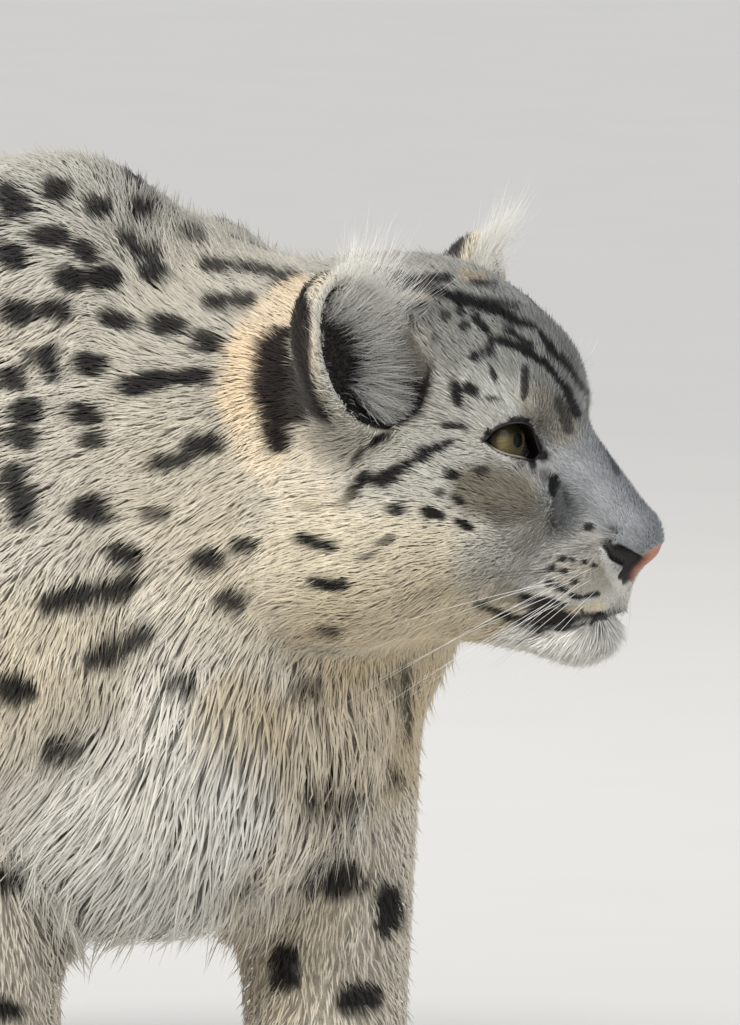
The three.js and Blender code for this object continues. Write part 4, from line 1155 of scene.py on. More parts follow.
def ear_paint(colours, local, ears):
    """The hollow of the ear is dark with painted shade on one side, its back is black with a pale patch and
    its rim is pale.
    """
    edge = EAR_PAINT
    both = folded(local)
    up, across, out = ((both - EAR_MIDDLE) @ EAR_AXES.T).T
    hollow = hollow_distance(both, 1)
    outside = shell_distance(both - EAR_MIDDLE, EAR_AXES, np.array(EAR["outside"], float))
    inside = ears * (1 - ramp(hollow, *edge["hollow"]))
    # Painted shade: the hollow turns near black on one side and fades to the pale lining across it
    lining = lerp(EAR_HOLLOW_SHADE, EAR_PALE, ramp(across, *edge["lining"])[:, None])
    colours = lerp(colours, lining, inside[:, None])
    behind = ears * ramp(1 - out, *edge["behind"]) * ramp(up, *edge["behind_height"])
    behind *= 1 - ramp(np.abs(outside), *edge["behind_wall"])
    patch = 1 - ramp(np.hypot(up - edge["patch_height"], across), *edge["patch_size"])
    patch *= ramp(-out, *edge["patch_behind"])
    colours = lerp(colours, lerp(EAR_BACK, EAR_RIM, patch[:, None]), behind[:, None])
    rim = ears * (1 - ramp(np.abs(hollow - edge["rim_wall"]), *edge["rim_width"]))
    rim *= ramp(up, *edge["rim_height"])
    rim *= ramp(out, *edge["rim_front"])
    return lerp(colours, EAR_RIM, edge["rim_strength"] * rim[:, None])


PINK = srgb(184, 126, 102)
LIP = srgb(24, 20, 20)
NOSE_PAD = {"centre": (66, 0, -72.5), "radii": (15.5, 13, 13)}
BARE_EDGES = {"pad": (-0.5, 1.0), "nostril": (0.0, 1.2), "lips": (2.0, 3.6), "eyes": (1.2, 2.2)}
MOTTLE = (0.72, 0.5, 2.2)
# Painted shade on the nose pad: the distances from the nostrils over which it darkens
PAD_SHADE = (0.5, 7)


def nose_pad(local):
    return shell_distance(local - np.array(NOSE_PAD["centre"]), np.eye(3), np.array(NOSE_PAD["radii"]))


def bare_paint(colours, local, head):
    """Paints the nose pad, the nostrils, the lips and the corners of the eyes, which have no fur."""
    both = folded(local)
    from_nostril = nostril_distance(both)
    pad = 1 - ramp(nose_pad(local), *BARE_EDGES["pad"])
    nostril = 1 - ramp(from_nostril, *BARE_EDGES["nostril"])
    lips = 1 - ramp(capsule(both, MOUTH_SURFACE, 0), *BARE_EDGES["lips"])
    eyes = 1 - ramp(lids_apart(local), *BARE_EDGES["eyes"])
    least, more, size = MOTTLE
    # The pad is mottled, and darkened toward the nostrils with painted shade
    mottle_and_shade = (least + more * noise(local, size)) * (0.5 + 0.5 * ramp(from_nostril, *PAD_SHADE))
    colours = lerp(colours, PINK * mottle_and_shade[:, None], pad[:, None])
    for share in (nostril, lips, eyes):
        colours = lerp(colours, LIP, (head * share)[:, None])
    return colours, head * np.max([pad, nostril, lips, eyes], axis=0)


# The skin: a coarse net over the body and a fine one over the head, sewn together behind the ears
SEAM_X, SEAM_Z = 128, 200


def lines(*spans):
    """Grid lines through spans of start, end and step, each at most a step apart."""
    runs = [np.linspace(a, b, math.ceil((b - a) / step), endpoint=False) for a, b, step in spans]
    return np.concatenate(runs + [[spans[-1][1]]])


BODY_GRID = (
    lines((-1320, SEAM_X, 6.6), (SEAM_X, 200, 6.6)),
    lines((-200, 250, 6.6)),
    lines((-9, 100, 4), (100, SEAM_Z, 6.6), (SEAM_Z, 660, 6.6)),
)
HEAD_GRID = (
    lines((SEAM_X, 205, 4.4), (205, 262, 2.7), (262, 352, 1.8)),
    lines((-112, -28, 4), (-28, 106, 1.9), (106, 150, 2.6), (150, 214, 4.2)),
    lines((SEAM_Z, 366, 5.5), (366, 545, 1.9), (545, 660, 3.2)),
)


GRID_BLOCK = 4
BLOCK_MARGIN = 60


def grid_values(field, *axes):
    """A field's values on a grid, with one value for each block of grid points well off the surface."""
    starts = [np.arange(0, len(axis), GRID_BLOCK) for axis in axes]
    middles = [axis[np.minimum(i + GRID_BLOCK // 2, len(axis) - 1)] for axis, i in zip(axes, starts)]
    rough = field(grid_points(*middles)).reshape([len(m) for m in middles])
    for n, axis in enumerate(axes):
        rough = np.repeat(rough, GRID_BLOCK, n).take(range(len(axis)), n)
    values = rough.ravel()
    close = np.abs(values) < BLOCK_MARGIN
    values[close] = field(grid_points(*axes)[close])
    return values.reshape(rough.shape)


def grid_points(*axes):
    return np.column_stack([g.ravel() for g in np.meshgrid(*axes, indexing="ij")])


def surface_net(field, xs, ys, zs, keep=None):
    """A field's surface: a point in each cell that it crosses and a square round each crossed edge."""
    values = grid_values(field, xs, ys, zs)
    inside = values < 0
    corners = list(product((0, 1), repeat=3))
    size = [n - 1 for n in inside.shape]

    def corner(array, c):
        return array[c[0]:c[0] + size[0], c[1]:c[1] + size[1], c[2]:c[2] + size[2]]

    count = sum(corner(inside, c).astype(int) for c in corners)
    cells = np.argwhere((count > 0) & (count < 8))
    total = np.zeros((len(cells), 3))
    crossings = np.zeros(len(cells))
    for c in corners:
        for axis in range(3):
            if c[axis]:
                continue
            a = cells + c
            b = a + np.eye(3, dtype=int)[axis]
            va, vb = values[tuple(a.T)], values[tuple(b.T)]
            crossed = (va < 0) != (vb < 0)
            t = np.where(crossed, va / np.where(crossed, va - vb, 1), 0)
            pa = np.column_stack([xs[a[:, 0]], ys[a[:, 1]], zs[a[:, 2]]])
            pb = np.column_stack([xs[b[:, 0]], ys[b[:, 1]], zs[b[:, 2]]])
            total += np.where(crossed[:, None], lerp(pa, pb, t[:, None]), 0)
            crossings += crossed
    points = total / crossings[:, None]
    number = np.full(inside.shape, -1)
    number[tuple(cells.T)] = np.arange(len(cells))
    quads = []
    for axis in range(3):
        u, v = (axis + 1) % 3, (axis + 2) % 3
        step = np.eye(3, dtype=int)
        a = np.argwhere(inside != np.roll(inside, -1, axis))
        a = a[(a < size).all(1) & (a[:, [u, v]] > 0).all(1)]
        ring = [a - step[u] - step[v], a - step[v], a, a - step[u]]
        quad = np.column_stack([number[tuple(r.T)] for r in ring])
        flip = ~inside[tuple(a.T)]
        quad[flip] = quad[flip][:, ::-1]
        if keep is not None:
            inner = np.max([r[:, 0] for r in ring], axis=0)
            low = np.max([r[:, 2] for r in ring], axis=0)
            quad = quad[keep(xs[inner], zs[low])]
        quads.append(quad[(quad >= 0).all(1)])
    return points, np.concatenate(quads)


def triangles_of(points, quads):
    """Two triangles for each square, split along its shorter diagonal."""
    first = np.linalg.norm(points[quads[:, 0]] - points[quads[:, 2]], axis=1)
    second = np.linalg.norm(points[quads[:, 1]] - points[quads[:, 3]], axis=1)
    turned = np.where((first <= second)[:, None], quads, np.roll(quads, -1, axis=1))
    return np.concatenate([turned[:, [0, 1, 2]], turned[:, [0, 2, 3]]])


POINT_CODE = 10**7
NET_SLACK = 3


def rim_loop(triangles):
    """The longest loop of edges that have a triangle on one side only, in order."""
    edges = np.concatenate([triangles[:, [0, 1]], triangles[:, [1, 2]], triangles[:, [2, 0]]])
    codes = edges[:, 0] * POINT_CODE + edges[:, 1]
    open_edges = edges[~np.isin(codes, edges[:, 1] * POINT_CODE + edges[:, 0])]
    following = dict(open_edges.tolist())
    best = []
    while following:
        start = next(iter(following))
        loop = [start]
        while loop[-1] in following:
            loop.append(following.pop(loop[-1]))
        if len(loop) > len(best):
            best = loop[:-1]
    return best


def sewn(points, one, other):
    """Triangles between two loops that run opposite ways round the same opening."""
    other = other[::-1]
    start = int(np.argmin(np.linalg.norm(points[other] - points[one[0]], axis=1)))
    other = other[start:] + other[:start]
    one, other = one + one[:1], other + other[:1]

    def gap(i, j):
        inside = i < len(one) and j < len(other)
        return np.linalg.norm(points[one[i]] - points[other[j]]) if inside else np.inf

    i = j = 0
    triangles = []
    while i < len(one) - 1 or j < len(other) - 1:
        if gap(i + 1, j) <= gap(i, j + 1):
            triangles.append((one[i + 1], one[i], other[j]))
            i += 1
        else:
            triangles.append((one[i], other[j], other[j + 1]))
            j += 1
    return np.array(triangles)


def behind_seam(x, z):
    return (x < SEAM_X) | (z < SEAM_Z)


def skin_shape():
    """The skin's points and triangles."""
    body, body_quads = surface_net(skin_field, *BODY_GRID, keep=behind_seam)
    head, head_quads = surface_net(skin_field, *HEAD_GRID)
    points = np.concatenate([body, head])
    body_triangles = triangles_of(points, body_quads)
    head_triangles = triangles_of(points, head_quads + len(body))
    seam = sewn(points, rim_loop(body_triangles), rim_loop(head_triangles))
    triangles = np.concatenate([body_triangles, head_triangles, seam])
    used, flat = np.unique(triangles, return_inverse=True)
    points = points[used]
    shift = settle(skin_field, points) - points
    length = np.linalg.norm(shift, axis=1, keepdims=True)
    shift *= np.minimum(1, NET_SLACK / np.maximum(length, 1e-6))
    return points + shift, flat.reshape(-1, 3)


def corner_normals(points, triangles):
    a, b, c = (points[triangles[:, i]] for i in range(3))
    face = np.cross(b - a, c - a)
    total = np.zeros_like(points)
    for i in range(3):
        np.add.at(total, triangles[:, i], face)
    return unit(total), np.linalg.norm(face, axis=1) / 2


# Blender objects
def mesh_object(name, points, faces, material, colours=None, values=(), vectors=()):
    """A smooth object from points in millimetres in the modelling frame, with colours and values on them."""
    mesh = bpy.data.meshes.new(name)
    faces = np.asarray(faces)
    mesh.vertices.add(len(points))
    mesh.vertices.foreach_set("co", placed(points).astype(np.float32).ravel())
    mesh.loops.add(faces.size)
    mesh.loops.foreach_set("vertex_index", faces.astype(np.int32).ravel())
    mesh.polygons.add(len(faces))
    mesh.polygons.foreach_set("loop_start", np.arange(0, faces.size, faces.shape[1], dtype=np.int32))
    mesh.update(calc_edges=True)
    mesh.polygons.foreach_set("use_smooth", np.full(len(faces), True))
    layers = []
    if colours is not None:
        layers.append(("coat", "FLOAT_COLOR", "color", np.column_stack([colours, np.ones(len(colours))])))
    layers += [(key, "FLOAT", "value", value) for key, value in dict(values).items()]
    layers += [(key, "FLOAT_VECTOR", "vector", value) for key, value in dict(vectors).items()]
    for key, kind, field, value in layers:
        layer = mesh.attributes.new(key, kind, "POINT")
        layer.data.foreach_set(field, value.astype(np.float32).ravel())
    mesh.materials.append(material)
    item = bpy.data.objects.new(name, mesh)
    bpy.context.scene.collection.objects.link(item)
    return item


UV_EDGE = 0.0005


def set_uv(item, coordinates):
    layer = item.data.uv_layers.new(name="OFBake")
    inside = np.clip(coordinates, UV_EDGE, 1 - UV_EDGE)
    layer.data.foreach_set("uv", inside.astype(np.float32).ravel())


class Nodes:
    """A material's nodes, made and joined by short calls."""

    def __init__(self, name):
        self.material = bpy.data.materials.new(name)
        self.material.use_nodes = True
        self.tree = self.material.node_tree
        self.shader = self.tree.nodes["Principled BSDF"]

    def add(self, kind, inputs=(), **settings):
        node = self.tree.nodes.new("ShaderNode" + kind)
        for key, value in settings.items():
            setattr(node, key, value)
        for key, value in dict(inputs).items():
            self.set(node.inputs[key], value)
        return node

    def set(self, socket, value):
        if isinstance(value, bpy.types.NodeSocket):
            self.tree.links.new(value, socket)
        else:
            socket.default_value = value

    def attribute(self, name):
        return self.add("Attribute", attribute_name=name)

    def range(self, value, low, high):
        return self.add("MapRange", {"Value": value, "To Min": low, "To Max": high}).outputs["Result"]

    def multiply(self, colour, factor):
        node = self.add("VectorMath", {0: colour}, operation="SCALE")
        self.set(node.inputs["Scale"], factor)
        return node.outputs["Vector"]

    def finish(self, **inputs):
        for key, value in inputs.items():
            self.set(self.shader.inputs[key.replace("_", " ")], value)
        return self.material


def noise_node(nodes, vector, scale, detail=2.0):
    return nodes.add("TexNoise", {"Vector": vector, "Scale": scale, "Detail": detail}).outputs["Fac"]


def fur_material():
    """Fur: each tuft's own colours, with fine hairs along it as light and dark lines and as bumps."""
    nodes = Nodes("fur")
    strand = nodes.attribute("strand").outputs["Vector"]
    lines_across = nodes.add("Mapping", {"Vector": strand, "Scale": (2.6, 0.09, 1)}).outputs["Vector"]
    hairs = noise_node(nodes, lines_across, scale=1.0, detail=3.0)
    bright = nodes.range(hairs, low=0.76, high=1.24)
    colour = nodes.multiply(nodes.attribute("coat").outputs["Color"], bright)
    bump = nodes.add("Bump", {"Height": hairs, "Strength": 0.5, "Distance": 0.0004}).outputs["Normal"]
    return nodes.finish(
        Base_Color=colour,
        Roughness=0.66,
        Normal=bump,
        Sheen_Weight=0.06,
        Sheen_Roughness=0.45,
        Specular_IOR_Level=0.2,
    )


def skin_material():
    """Skin under the coat: short fur as fine bumps, and pebbled and damper where it is bare."""
    nodes = Nodes("skin")
    place = nodes.add("TexCoord").outputs["Object"]
    fur = noise_node(nodes, place, scale=900.0, detail=4.0)
    pebbles = nodes.add("TexVoronoi", {"Vector": place, "Scale": 900.0}).outputs["Distance"]
    bare = nodes.attribute("bare").outputs["Fac"]
    height = nodes.add("Mix", {0: bare, 2: fur, 3: pebbles}).outputs[0]
    bump = nodes.add("Bump", {"Height": height, "Strength": 0.6, "Distance": 0.0005}).outputs["Normal"]
    bright = nodes.range(fur, low=0.75, high=1.2)
    colour = nodes.multiply(nodes.attribute("coat").outputs["Color"], bright)
    rough = nodes.range(bare, low=0.85, high=0.42)
    return nodes.finish(Base_Color=colour, Roughness=rough, Normal=bump, Specular_IOR_Level=0.35)


def hair_material(name, rough):
    nodes = Nodes(name)
    place = nodes.add("TexCoord").outputs["Object"]
    grain = noise_node(nodes, place, scale=700.0)
    bright = nodes.range(grain, low=0.85, high=1.1)
    colour = nodes.multiply(nodes.attribute("coat").outputs["Color"], bright)
    bump = nodes.add("Bump", {"Height": grain, "Strength": 0.3, "Distance": 0.0002}).outputs["Normal"]
    return nodes.finish(Base_Color=colour, Roughness=rough, Normal=bump)


def eye_material():
    nodes = Nodes("eye")
    place = nodes.add("TexCoord").outputs["Object"]
    grain = noise_node(nodes, place, scale=1500.0, detail=4.0)
    bright = nodes.range(grain, low=0.9, high=1.1)
    colour = nodes.multiply(nodes.attribute("coat").outputs["Color"], bright)
    rough = nodes.range(grain, low=0.16, high=0.24)
    return nodes.finish(
        Base_Color=colour,
        Roughness=rough,
        Coat_Weight=0.16,
        Coat_Roughness=0.07,
        IOR=1.36,
        Specular_IOR_Level=0.12,
    )


FLOOR_TONES = ((0.60, 0.598, 0.588, 1), (0.63, 0.628, 0.618, 1))


def floor_material():
    nodes = Nodes("floor")
    place = nodes.add("TexCoord").outputs["Object"]
    grain = noise_node(nodes, place, scale=6.0, detail=6.0)
    ramp_node = nodes.add("ValToRGB", {"Fac": grain})
    for element, tone in zip(ramp_node.color_ramp.elements, FLOOR_TONES):
        element.color = tone
    bump = nodes.add("Bump", {"Height": grain, "Strength": 0.1, "Distance": 0.002}).outputs["Normal"]
    return nodes.finish(Base_Color=ramp_node.outputs["Color"], Roughness=0.9, Normal=bump)


# Tufts. A spike is a thin strand from the skin. A lock is pointed at both ends and bends at its thickest.
SPIKE_FACES = np.array([(0, 2, 1), (3, 0, 1), (3, 1, 2), (3, 2, 0)])
LOCK_FACES = np.array([(4, 2, 0), (4, 0, 1), (4, 1, 2), (3, 0, 2), (3, 1, 0), (3, 2, 1)])
SPIKE_UV = np.array([(0, 0.2), (-0.5, -0.3), (0.5, -0.3), (0, 0.5)])
LOCK_UV = np.array([(0, 0), (-0.5, 0), (0.5, 0), (0, -0.5), (0, 0.5)])
# The depth of a tuft's root, its height over and under its middle, and a spike's greater width at its base
SPIKE = {"root": 0.4, "over": 0.5, "under": 0.2, "width": 1.35}
LOCK = {"root": 1.5, "high": 0.75, "under": 0.4}
PATCH = 0.003
PIECE_LIMIT = 185000
BARE_LIMIT = 0.35
LEAST_SPACING = 0.5
SOLE_CLEAR = 3
# How a tuft grows, in shares of the coat's depth or of its own length: its waves as share, size and shift
LEAST_DEPTH = 0.7
DEPTH_LIMIT = (1.9, 2)
SWIRL = (0.45, 26, 300)
CLUMP = (0.55, 7, 170)
SCATTER = 0.1
WIDTH_SPREAD = (0.65, 1.25)
LENGTH_SPREAD = (0.75, 1.25)
LEAST_LENGTH = 3.4
LID_SHORT = 0.4
LID_GAPS = (0.5, 7)
TIP_REACH = 0.93
TIP_SPREAD = 0.1
BEND_REACH = 0.46
BEND_LIFT = 0.6
BEND_SINK = (0.12, 0.38)
STRAYS = {"ear": 0.6, "coat": 0.1, "height": (0.1, 0.6)}
SKIN_CLEAR = {"tip": 0.6, "bend": 0.3, "most": 4}
LIFT = {"step": 2, "steep": 0.6, "most": 40}


class Tufts:
    """Tufts grown on the skin, as one row of arrays each."""

    def __init__(self, skin, coat, uv):
        points, triangles, normals, areas = skin
        numbers, tones, flow, bare, main = coat
        spacing = numbers[:, 3]
        weight = areas / np.maximum(spacing[triangles].mean(1), LEAST_SPACING) ** 2
        weight *= bare[triangles].mean(1) < BARE_LIMIT
        weight *= points[triangles][:, :, 2].mean(1) > SOLE_CLEAR
        total = np.cumsum(weight)
        count = int(total[-1])
        draws = (np.arange(count) + DRAW.random(count)) * total[-1] / count
        chosen = np.minimum(np.searchsorted(total, draws), len(triangles) - 1)
        a, b = DRAW.random((2, count))
        fold = a + b > 1
        a, b = np.where(fold, 1 - a, a), np.where(fold, 1 - b, b)
        mix = np.column_stack([1 - a - b, a, b])[:, :, None]
        corners = triangles[chosen]

        def between(array):
            return (array[corners] * mix).sum(1)

        self.form = main[corners[:, 0]]
        self.root = between(points)
        self.normal = unit(between(normals))
        self.numbers = between(numbers)
        self.tones = between(tones)
        self.flow = between(flow)
        self.uv = (uv[chosen] * mix).sum(1)

    def waves(self, share, size, shift):
        """A slow drift of the lie, by noise of a size."""
        drift = np.column_stack([noise(self.root + shift * i, size) for i in range(3)]) - 0.5
        return share * drift

    def grow(self):
        """Sets the bend and the tip of each tuft, which lie along the coat up to its outside."""
        count = len(self.root)
        share, more = DEPTH_LIMIT
        depth = np.clip(-coat_field(self.root), LEAST_DEPTH, self.numbers[:, 0] * share + more)
        way = self.flow + self.waves(*SWIRL) + self.waves(*CLUMP)
        way = way + SCATTER * DRAW.normal(size=(count, 3))
        way = unit(way - self.normal * (way * self.normal).sum(1)[:, None])
        self.width = self.numbers[:, 2] * DRAW.uniform(*WIDTH_SPREAD, count)
        length = depth * self.numbers[:, 1] * DRAW.uniform(*LENGTH_SPREAD, count)
        self.length = np.maximum(length, LEAST_LENGTH * self.width)
        gap = lids_apart(to_head(self.root))
        self.length *= LID_SHORT + (1 - LID_SHORT) * ramp(gap, *LID_GAPS)
        reach = self.length[:, None]
        lift = depth[:, None] * self.normal
        tip = self.root + way * reach * TIP_REACH + lift
        stray = DRAW.random(count) < np.where(EAR_FORMS[self.form], STRAYS["ear"], STRAYS["coat"])
        heights = DRAW.normal(0.0, TIP_SPREAD, count) + stray * DRAW.uniform(*STRAYS["height"], count)
        self.tip = self.lifted(tip, depth * heights)
        bend = self.root + way * reach * BEND_REACH + BEND_LIFT * lift
        self.bend = self.lifted(bend, -depth * DRAW.uniform(*BEND_SINK, count))
        self.depth = depth
        self.clear_skin()

    def clear_skin(self):
        """Lifts the head's tufts out of the skin where it rises to the coat's outside, as round the eyes."""
        head = np.flatnonzero(self.form >= FIRST_HEAD)
        for points, least in ((self.tip, SKIN_CLEAR["tip"]), (self.bend, SKIN_CLEAR["bend"])):
            low = np.maximum(least - skin_field(points[head]), 0)
            points[head] += self.normal[head] * np.minimum(low, SKIN_CLEAR["most"])[:, None]

    @staticmethod
    def lifted(points, heights):
        """Moves points along the coat field's slope to heights above the coat's outside."""
        way, steep = slope(coat_field, points, LIFT["step"])
        move = (coat_field(points) - heights) / np.maximum(steep, LIFT["steep"])
        return points - way * np.clip(move, -LIFT["most"], LIFT["most"])[:, None]

    def chosen(self, rows):
        """The tufts of some rows, as tufts of their own."""
        some = object.__new__(Tufts)
        vars(some).update({key: value[rows] for key, value in vars(self).items()})
        return some


def spread(tufts, flat):
    """The corners of chosen tufts, the outward way at each, and how far across and along it lies."""
    along_way = unit(tufts.tip - tufts.root)
    side = unit(np.cross(tufts.normal, along_way))
    up = np.cross(along_way, side)
    half = tufts.width[:, None] / 2
    outward = [up, up - side, up + side, up]
    if flat:
        base = tufts.root - tufts.normal * SPIKE["root"]
        wide = half * SPIKE["width"]
        under = up * wide * SPIKE["under"]
        over = base + up * wide * SPIKE["over"]
        rows = [over, base - side * wide - under, base + side * wide - under, tufts.tip]
        across, share = (0, -1, 1, 0), (0, 0, 0, 1)
    else:
        high = half * LOCK["high"]
        under = up * high * LOCK["under"]
        root = tufts.root - tufts.normal * LOCK["root"]
        middle = [tufts.bend + up * high, tufts.bend - side * half - under, tufts.bend + side * half - under]
        rows = middle + [root, tufts.tip]
        outward.append(up)
        across, share = (0, -1, 1, 0, 0), (0.5, 0.45, 0.45, 0, 1)
    return np.stack(rows, 1), np.stack(outward, 1), np.array(across), np.array(share)


# How far a tuft's shading leans on the surface it grows from, its light from root to tip, and where along it
# the colour near its root turns to that near its tip
NORMAL_MIX = 0.85
SHADES = (0.88, 0.99, 1.06)
COLOUR_TURN = (0.45, 1)
STRAND_SHIFT = 91


def tuft_object(name, tufts, flat, material, colours):
    """One object from chosen tufts."""
    points, outward, across, share = spread(tufts, flat)
    count, corners = points.shape[:2]
    faces = SPIKE_FACES if flat else LOCK_FACES
    corner_uv = SPIKE_UV if flat else LOCK_UV
    triangles = (faces[None] + corners * np.arange(count)[:, None, None]).reshape(-1, 3)
    shade = np.interp(share, (0, 0.5, 1), SHADES)
    turn = np.interp(share, COLOUR_TURN, (0, 1))[None, :, None]
    mixed = lerp(colours[:, None, 0], colours[:, None, 1], turn)
    tone = (mixed * shade[None, :, None] * tufts.light[:, None, None]).reshape(-1, 3)
    strand = np.stack([
        across[None] * tufts.width[:, None] / 2,
        share[None] * tufts.length[:, None],
        np.broadcast_to(tufts.light[:, None] * STRAND_SHIFT, (count, corners)),
    ], -1).reshape(-1, 3)
    item = mesh_object(name, points.reshape(-1, 3), triangles, material, tone, vectors={"strand": strand})
    patch = tufts.uv[:, None] + corner_uv[None] * PATCH
    set_uv(item, patch.reshape(-1, 2)[triangles.ravel()])
    surface = tufts.normal[:, None]
    normals = unit(unit(outward) * (1 - NORMAL_MIX) + surface * NORMAL_MIX).reshape(-1, 3)
    item.data.normals_split_custom_set_from_vertices(normals.astype(np.float32))
    return item


TAPER = 0.85
HAIR_SIDE = (0.31, 0.22, 0.92)
HAIR_SIDES = 3


def hair_tubes(roots, ways, lengths, droops, thickness, steps):
    """Tapered hairs as points and triangles: a ring of three points at each step and a point at the tip."""
    count, sides = len(roots), HAIR_SIDES
    t = np.linspace(0, 1, steps + 1)
    straight = ways[:, None] * (lengths[:, None] * t)[..., None]
    centres = roots[:, None] + straight + droops[:, None] * (t * t)[:, None]
    side = unit(np.cross(ways, HAIR_SIDE))
    up = np.cross(ways, side)
    radii = (thickness[:, None] * (1 - TAPER * t[:-1]))[..., None]
    rings = []
    for i in range(sides):
        angle = 2 * i * np.pi / sides
        turn = side * math.cos(angle) + up * math.sin(angle)
        rings.append(centres[:, :-1] + turn[:, None] * radii)
    points = np.concatenate([np.stack(rings, 2).reshape(count, -1, 3), centres[:, -1:]], 1)
    each = points.shape[1]
    faces = [(0, 2, 1)]
    for ring, i in product(range(steps - 1), range(sides)):
        a, b = sides * ring + i, sides * ring + (i + 1) % sides
        faces += [(a, b, b + sides), (a, b + sides, a + sides)]
    last = sides * (steps - 1)
    faces += [(last + i, last + (i + 1) % sides, each - 1) for i in range(sides)]
    triangles = (np.array(faces)[None] + each * np.arange(count)[:, None, None]).reshape(-1, 3)
    return points.reshape(-1, 3), triangles, each


TUBE_SIDES = 8
TUBE_SIDE = (0.2, 0.31, 0.93)
TUBE_END = 0.25


def tube(points, radius):
    """A closed tube along points, with tapered ends."""
    points, sides = np.asarray(points, float), TUBE_SIDES
    ways = unit(np.gradient(points, axis=0))
    side = unit(np.cross(ways, TUBE_SIDE))
    up = np.cross(ways, side)
    count = len(points)
    to_end = np.minimum(np.arange(count), np.arange(count)[::-1])
    radii = radius * np.clip(to_end / 2 + TUBE_END, 0, 1)
    turns = (np.arange(sides) * 2 * np.pi / sides)[None, :, None]
    ring = side[:, None] * np.cos(turns) + up[:, None] * np.sin(turns)
    rings = points[:, None] + radii[:, None, None] * ring
    faces = []
    for step, i in product(range(count - 1), range(sides)):
        a, b = step * sides + i, step * sides + (i + 1) % sides
        faces += [(a, b, b + sides), (a, b + sides, a + sides)]
    end = (count - 1) * sides
    for i in range(1, sides - 1):
        faces += [(0, i + 1, i), (end, end + i, end + i + 1)]
    return rings.reshape(-1, 3), np.array(faces)


def smooth_curve(rows, count):
    """Points along a smooth curve through rows."""
    rows = np.column_stack([np.arange(len(rows)), rows]).astype(float)
    return station_at(rows, np.linspace(0, len(rows) - 1, count))[:, 1:]


# Eyes, lids, lips and whiskers
IRIS_OUT = math.radians(13)
IRIS_ANGLE = math.radians(54)
PUPIL_ANGLE = math.radians(15)
IRIS = srgb(76, 68, 45)
IRIS_PALE = srgb(120, 109, 76)
IRIS_EDGE = srgb(52, 46, 32)
BLACK = srgb(10, 10, 12)
EYE_NET = (110, 96)
IRIS_RISE = 0.05
IRIS_STREAKS = {"ring": 40, "along": 6, "size": 2.2, "least": 0.25, "more": 0.9}
# Where the iris turns pale, where its edge starts, where it and the pupil fade, in shares of their angles
IRIS_PALES = 0.7
IRIS_EDGES = 0.8
PUPIL_FADES = (0.9, 1.08)
IRIS_FADES = (1.03, 1.15)
LID_SHADOW = (0.16, 0.06, 0.36)


def iris_colours(angle, turn, ways):
    """A black pupil, a streaked iris with a dark edge, shaded by the upper lid, and black beyond it."""
    streaks = IRIS_STREAKS
    around = streaks["ring"] * np.column_stack([np.cos(turn), np.sin(turn)])
    streak = noise(np.column_stack([around, angle * streaks["along"]]), streaks["size"])
    pale = ramp(angle, PUPIL_ANGLE, IRIS_ANGLE * IRIS_PALES) * (streaks["least"] + streaks["more"] * streak)
    colours = lerp(IRIS, IRIS_PALE, pale[:, None])
    colours = lerp(colours, IRIS_EDGE, ramp(angle, IRIS_ANGLE * IRIS_EDGES, IRIS_ANGLE)[:, None])
    dark, start, end = LID_SHADOW
    colours = colours * lerp(1.0, dark, ramp(ways[:, 2], start, end))[:, None]
    pupil = 1 - ramp(angle, *(PUPIL_ANGLE * np.array(PUPIL_FADES)))
    colours = lerp(colours, BLACK, pupil[:, None])
    return lerp(colours, BLACK, ramp(angle, *(IRIS_ANGLE * np.array(IRIS_FADES)))[:, None])


def eyeball(side, material):
    centre = EYE * [1, side, 1]
    axis = unit([math.cos(IRIS_OUT), side * math.sin(IRIS_OUT), IRIS_RISE])
    across = unit(np.cross([0, 0, 1], axis))
    up = np.cross(axis, across)
    rings, sides = EYE_NET
    polar = np.linspace(0, np.pi, rings + 1)[1:-1]
    turns = np.arange(sides) * 2 * np.pi / sides
    angle, turn = (grid.ravel() for grid in np.meshgrid(polar, turns, indexing="ij"))
    round_axis = np.cos(turn)[:, None] * across + np.sin(turn)[:, None] * up
    ways = np.cos(angle)[:, None] * axis + np.sin(angle)[:, None] * round_axis
    ways = np.concatenate([ways, [axis, -axis]])
    colours = iris_colours(np.append(angle, [0, np.pi]), np.append(turn, [0, 0]), ways)
    faces = []
    for ring, i in product(range(rings - 2), range(sides)):
        p, q = ring * sides + i, ring * sides + (i + 1) % sides
        faces += [(p, p + sides, q + sides), (p, q + sides, q)]
    front, behind, last = len(ways) - 2, len(ways) - 1, (rings - 2) * sides
    for i in range(sides):
        j = (i + 1) % sides
        faces += [(front, i, j), (behind, last + j, last + i)]
    word = "left" if side > 0 else "right"
    item = mesh_object(f"eyeball_{word}", from_head(centre + ways * EYE_RADIUS), faces, material, colours)
    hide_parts(f"eye_{word}")
    return item


# Each lid's column in its rows and the radius of its edge
LID_RIMS = ((1, 0.8), (2, 0.62))
LID_EDGE = srgb(150, 142, 130)
LID_PALE = ((0.08, 0.2), (0.45, 0.62))
LID_POINTS = 34
LID_REACH = 40
LID_SUNK = 0.9
LIP_RADIUS = 1.7
LIP_POINTS = 40
LIP_SUNK = (0.995, 0.985, 1)


